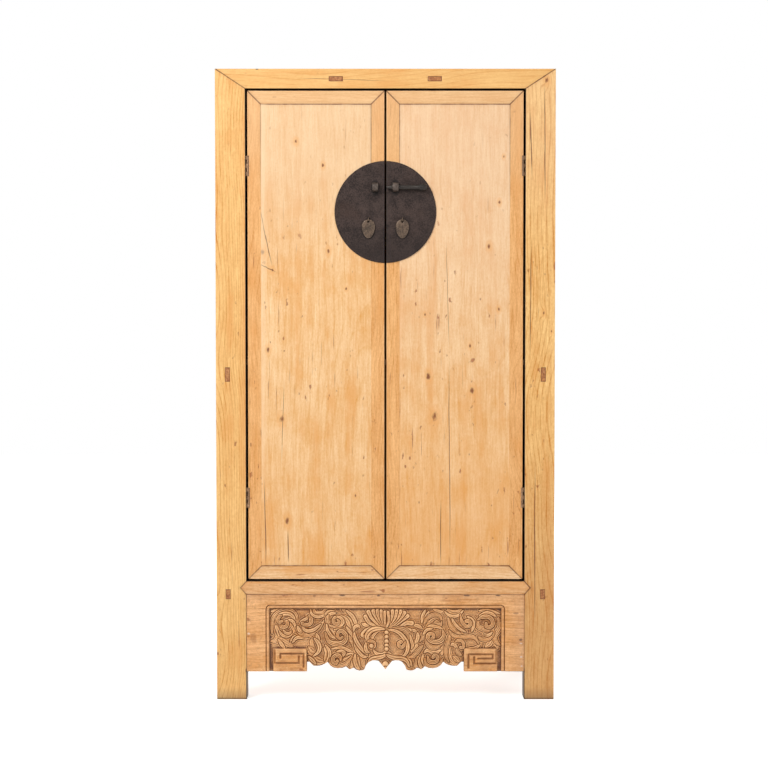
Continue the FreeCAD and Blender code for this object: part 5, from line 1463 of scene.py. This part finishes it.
def bolt_points():
    """Turned shape: radius by distance from the nose, swept round the axis; depth capped just off the plate."""
    end = bolt_high[0] - bolt_low[0]
    head = end - HEAD_LONG
    line = np.array([
        (0.0, 0.0001), (0.0, 0.0026), (0.0006, 0.0031), (0.006, 0.0047), (0.012, 0.0061), (0.016, 0.0067),
        (0.020, 0.0070), (0.045, 0.00695), (0.070, 0.0070), (head - 0.0004, 0.0070), (head, 0.0073), (head, 0.0098),
        (head + 0.0006, 0.0105), (head + 0.0016, 0.0109), (head + 0.006, HEAD_RADIUS), (head + 0.014, HEAD_RADIUS),
        (head + 0.019, 0.0108), (end - 0.0022, 0.0101), (end - 0.0008, 0.0088), (end, 0.0066), (end, 0.0001),
    ])
    turn = np.linspace(0.0, 2 * math.pi, 48, endpoint=False)
    points = np.empty((len(line), len(turn), 3))
    points[..., 0] = bolt_low[0] + line[:, :1]
    points[..., 1] = np.minimum(BOLT_Y + line[:, 1:] * np.cos(turn), bolt_high[1])
    points[..., 2] = BOLT_Z + line[:, 1:] * np.sin(turn)
    return points


bolt_bar = closed_piece("bolt_bar", bolt_points(), bolt_iron, "bolt")
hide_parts("bolt")
print("bolt:", round(bolt_high[0] - bolt_low[0], 4), "m long")

# %% [markdown]
# The collars are straps bent round the bolt, and their two edges are beaten up into thin lips. A lip is a round
# bead that follows the strap: up from the plate, round the front and back to the plate. We carry a small circle along
# that path.

# %% Collar lips
COLLAR_SIDE, LIP_OFFSET = 0.0305, 0.0078
STRAP_AXIS, STRAP_OUTSIDE = 0.009, 0.0135
LIP_RADIUS, LIP_SUNK, LIP_ROOT, LIP_POINT = 0.0011, 0.0006, 0.0008, 0.02


def lip_points(at_x, height):
    """Small circle carried along the strap's edge: out of the plate, round the front and back into the plate.

    Its two ends draw in to a point inside the plate.
    """
    round_front = np.linspace(-math.pi / 2, math.pi / 2, 36)
    axis_y, root_y = PLATE_FRONT - STRAP_AXIS, PLATE_FRONT + LIP_ROOT
    reach = STRAP_OUTSIDE - LIP_SUNK
    path_y = np.concatenate([[root_y], axis_y - reach * np.cos(round_front), [root_y]])
    path_z = np.concatenate([[height - reach], height + reach * np.sin(round_front), [height + reach]])
    lean = np.concatenate([[-math.pi / 2], round_front, [math.pi / 2]])
    path_y, path_z, lean = (np.concatenate([part[:1], part, part[-1:]]) for part in (path_y, path_z, lean))
    bead = np.full((len(lean), 1), LIP_RADIUS)
    bead[[0, -1]] *= LIP_POINT
    turn = np.linspace(0.0, 2 * math.pi, 16, endpoint=False)
    points = np.empty((len(lean), len(turn), 3))
    points[..., 0] = at_x + bead * np.cos(turn)
    points[..., 1] = path_y[:, None] - bead * np.sin(turn) * np.cos(lean)[:, None]
    points[..., 2] = path_z[:, None] + bead * np.sin(turn) * np.sin(lean)[:, None]
    # The columns are turned round here too, so that the faces look outwards.
    return points[:, ::-1]


for side_name, side in (("left", -1), ("right", 1)):
    low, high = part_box(f"{side_name}_bolt_collar")
    for edge_name, at_x in (("outer", COLLAR_SIDE + LIP_OFFSET), ("inner", COLLAR_SIDE - LIP_OFFSET)):
        closed_piece(
            f"{side_name}_collar_{edge_name}_lip", lip_points(side * at_x, (low[2] + high[2]) / 2),
            collar_iron, f"{side_name}_door",
        )
    print(side_name, "collar:", np.round(low, 4), np.round(high, 4), "with two lips")

# %% [markdown]
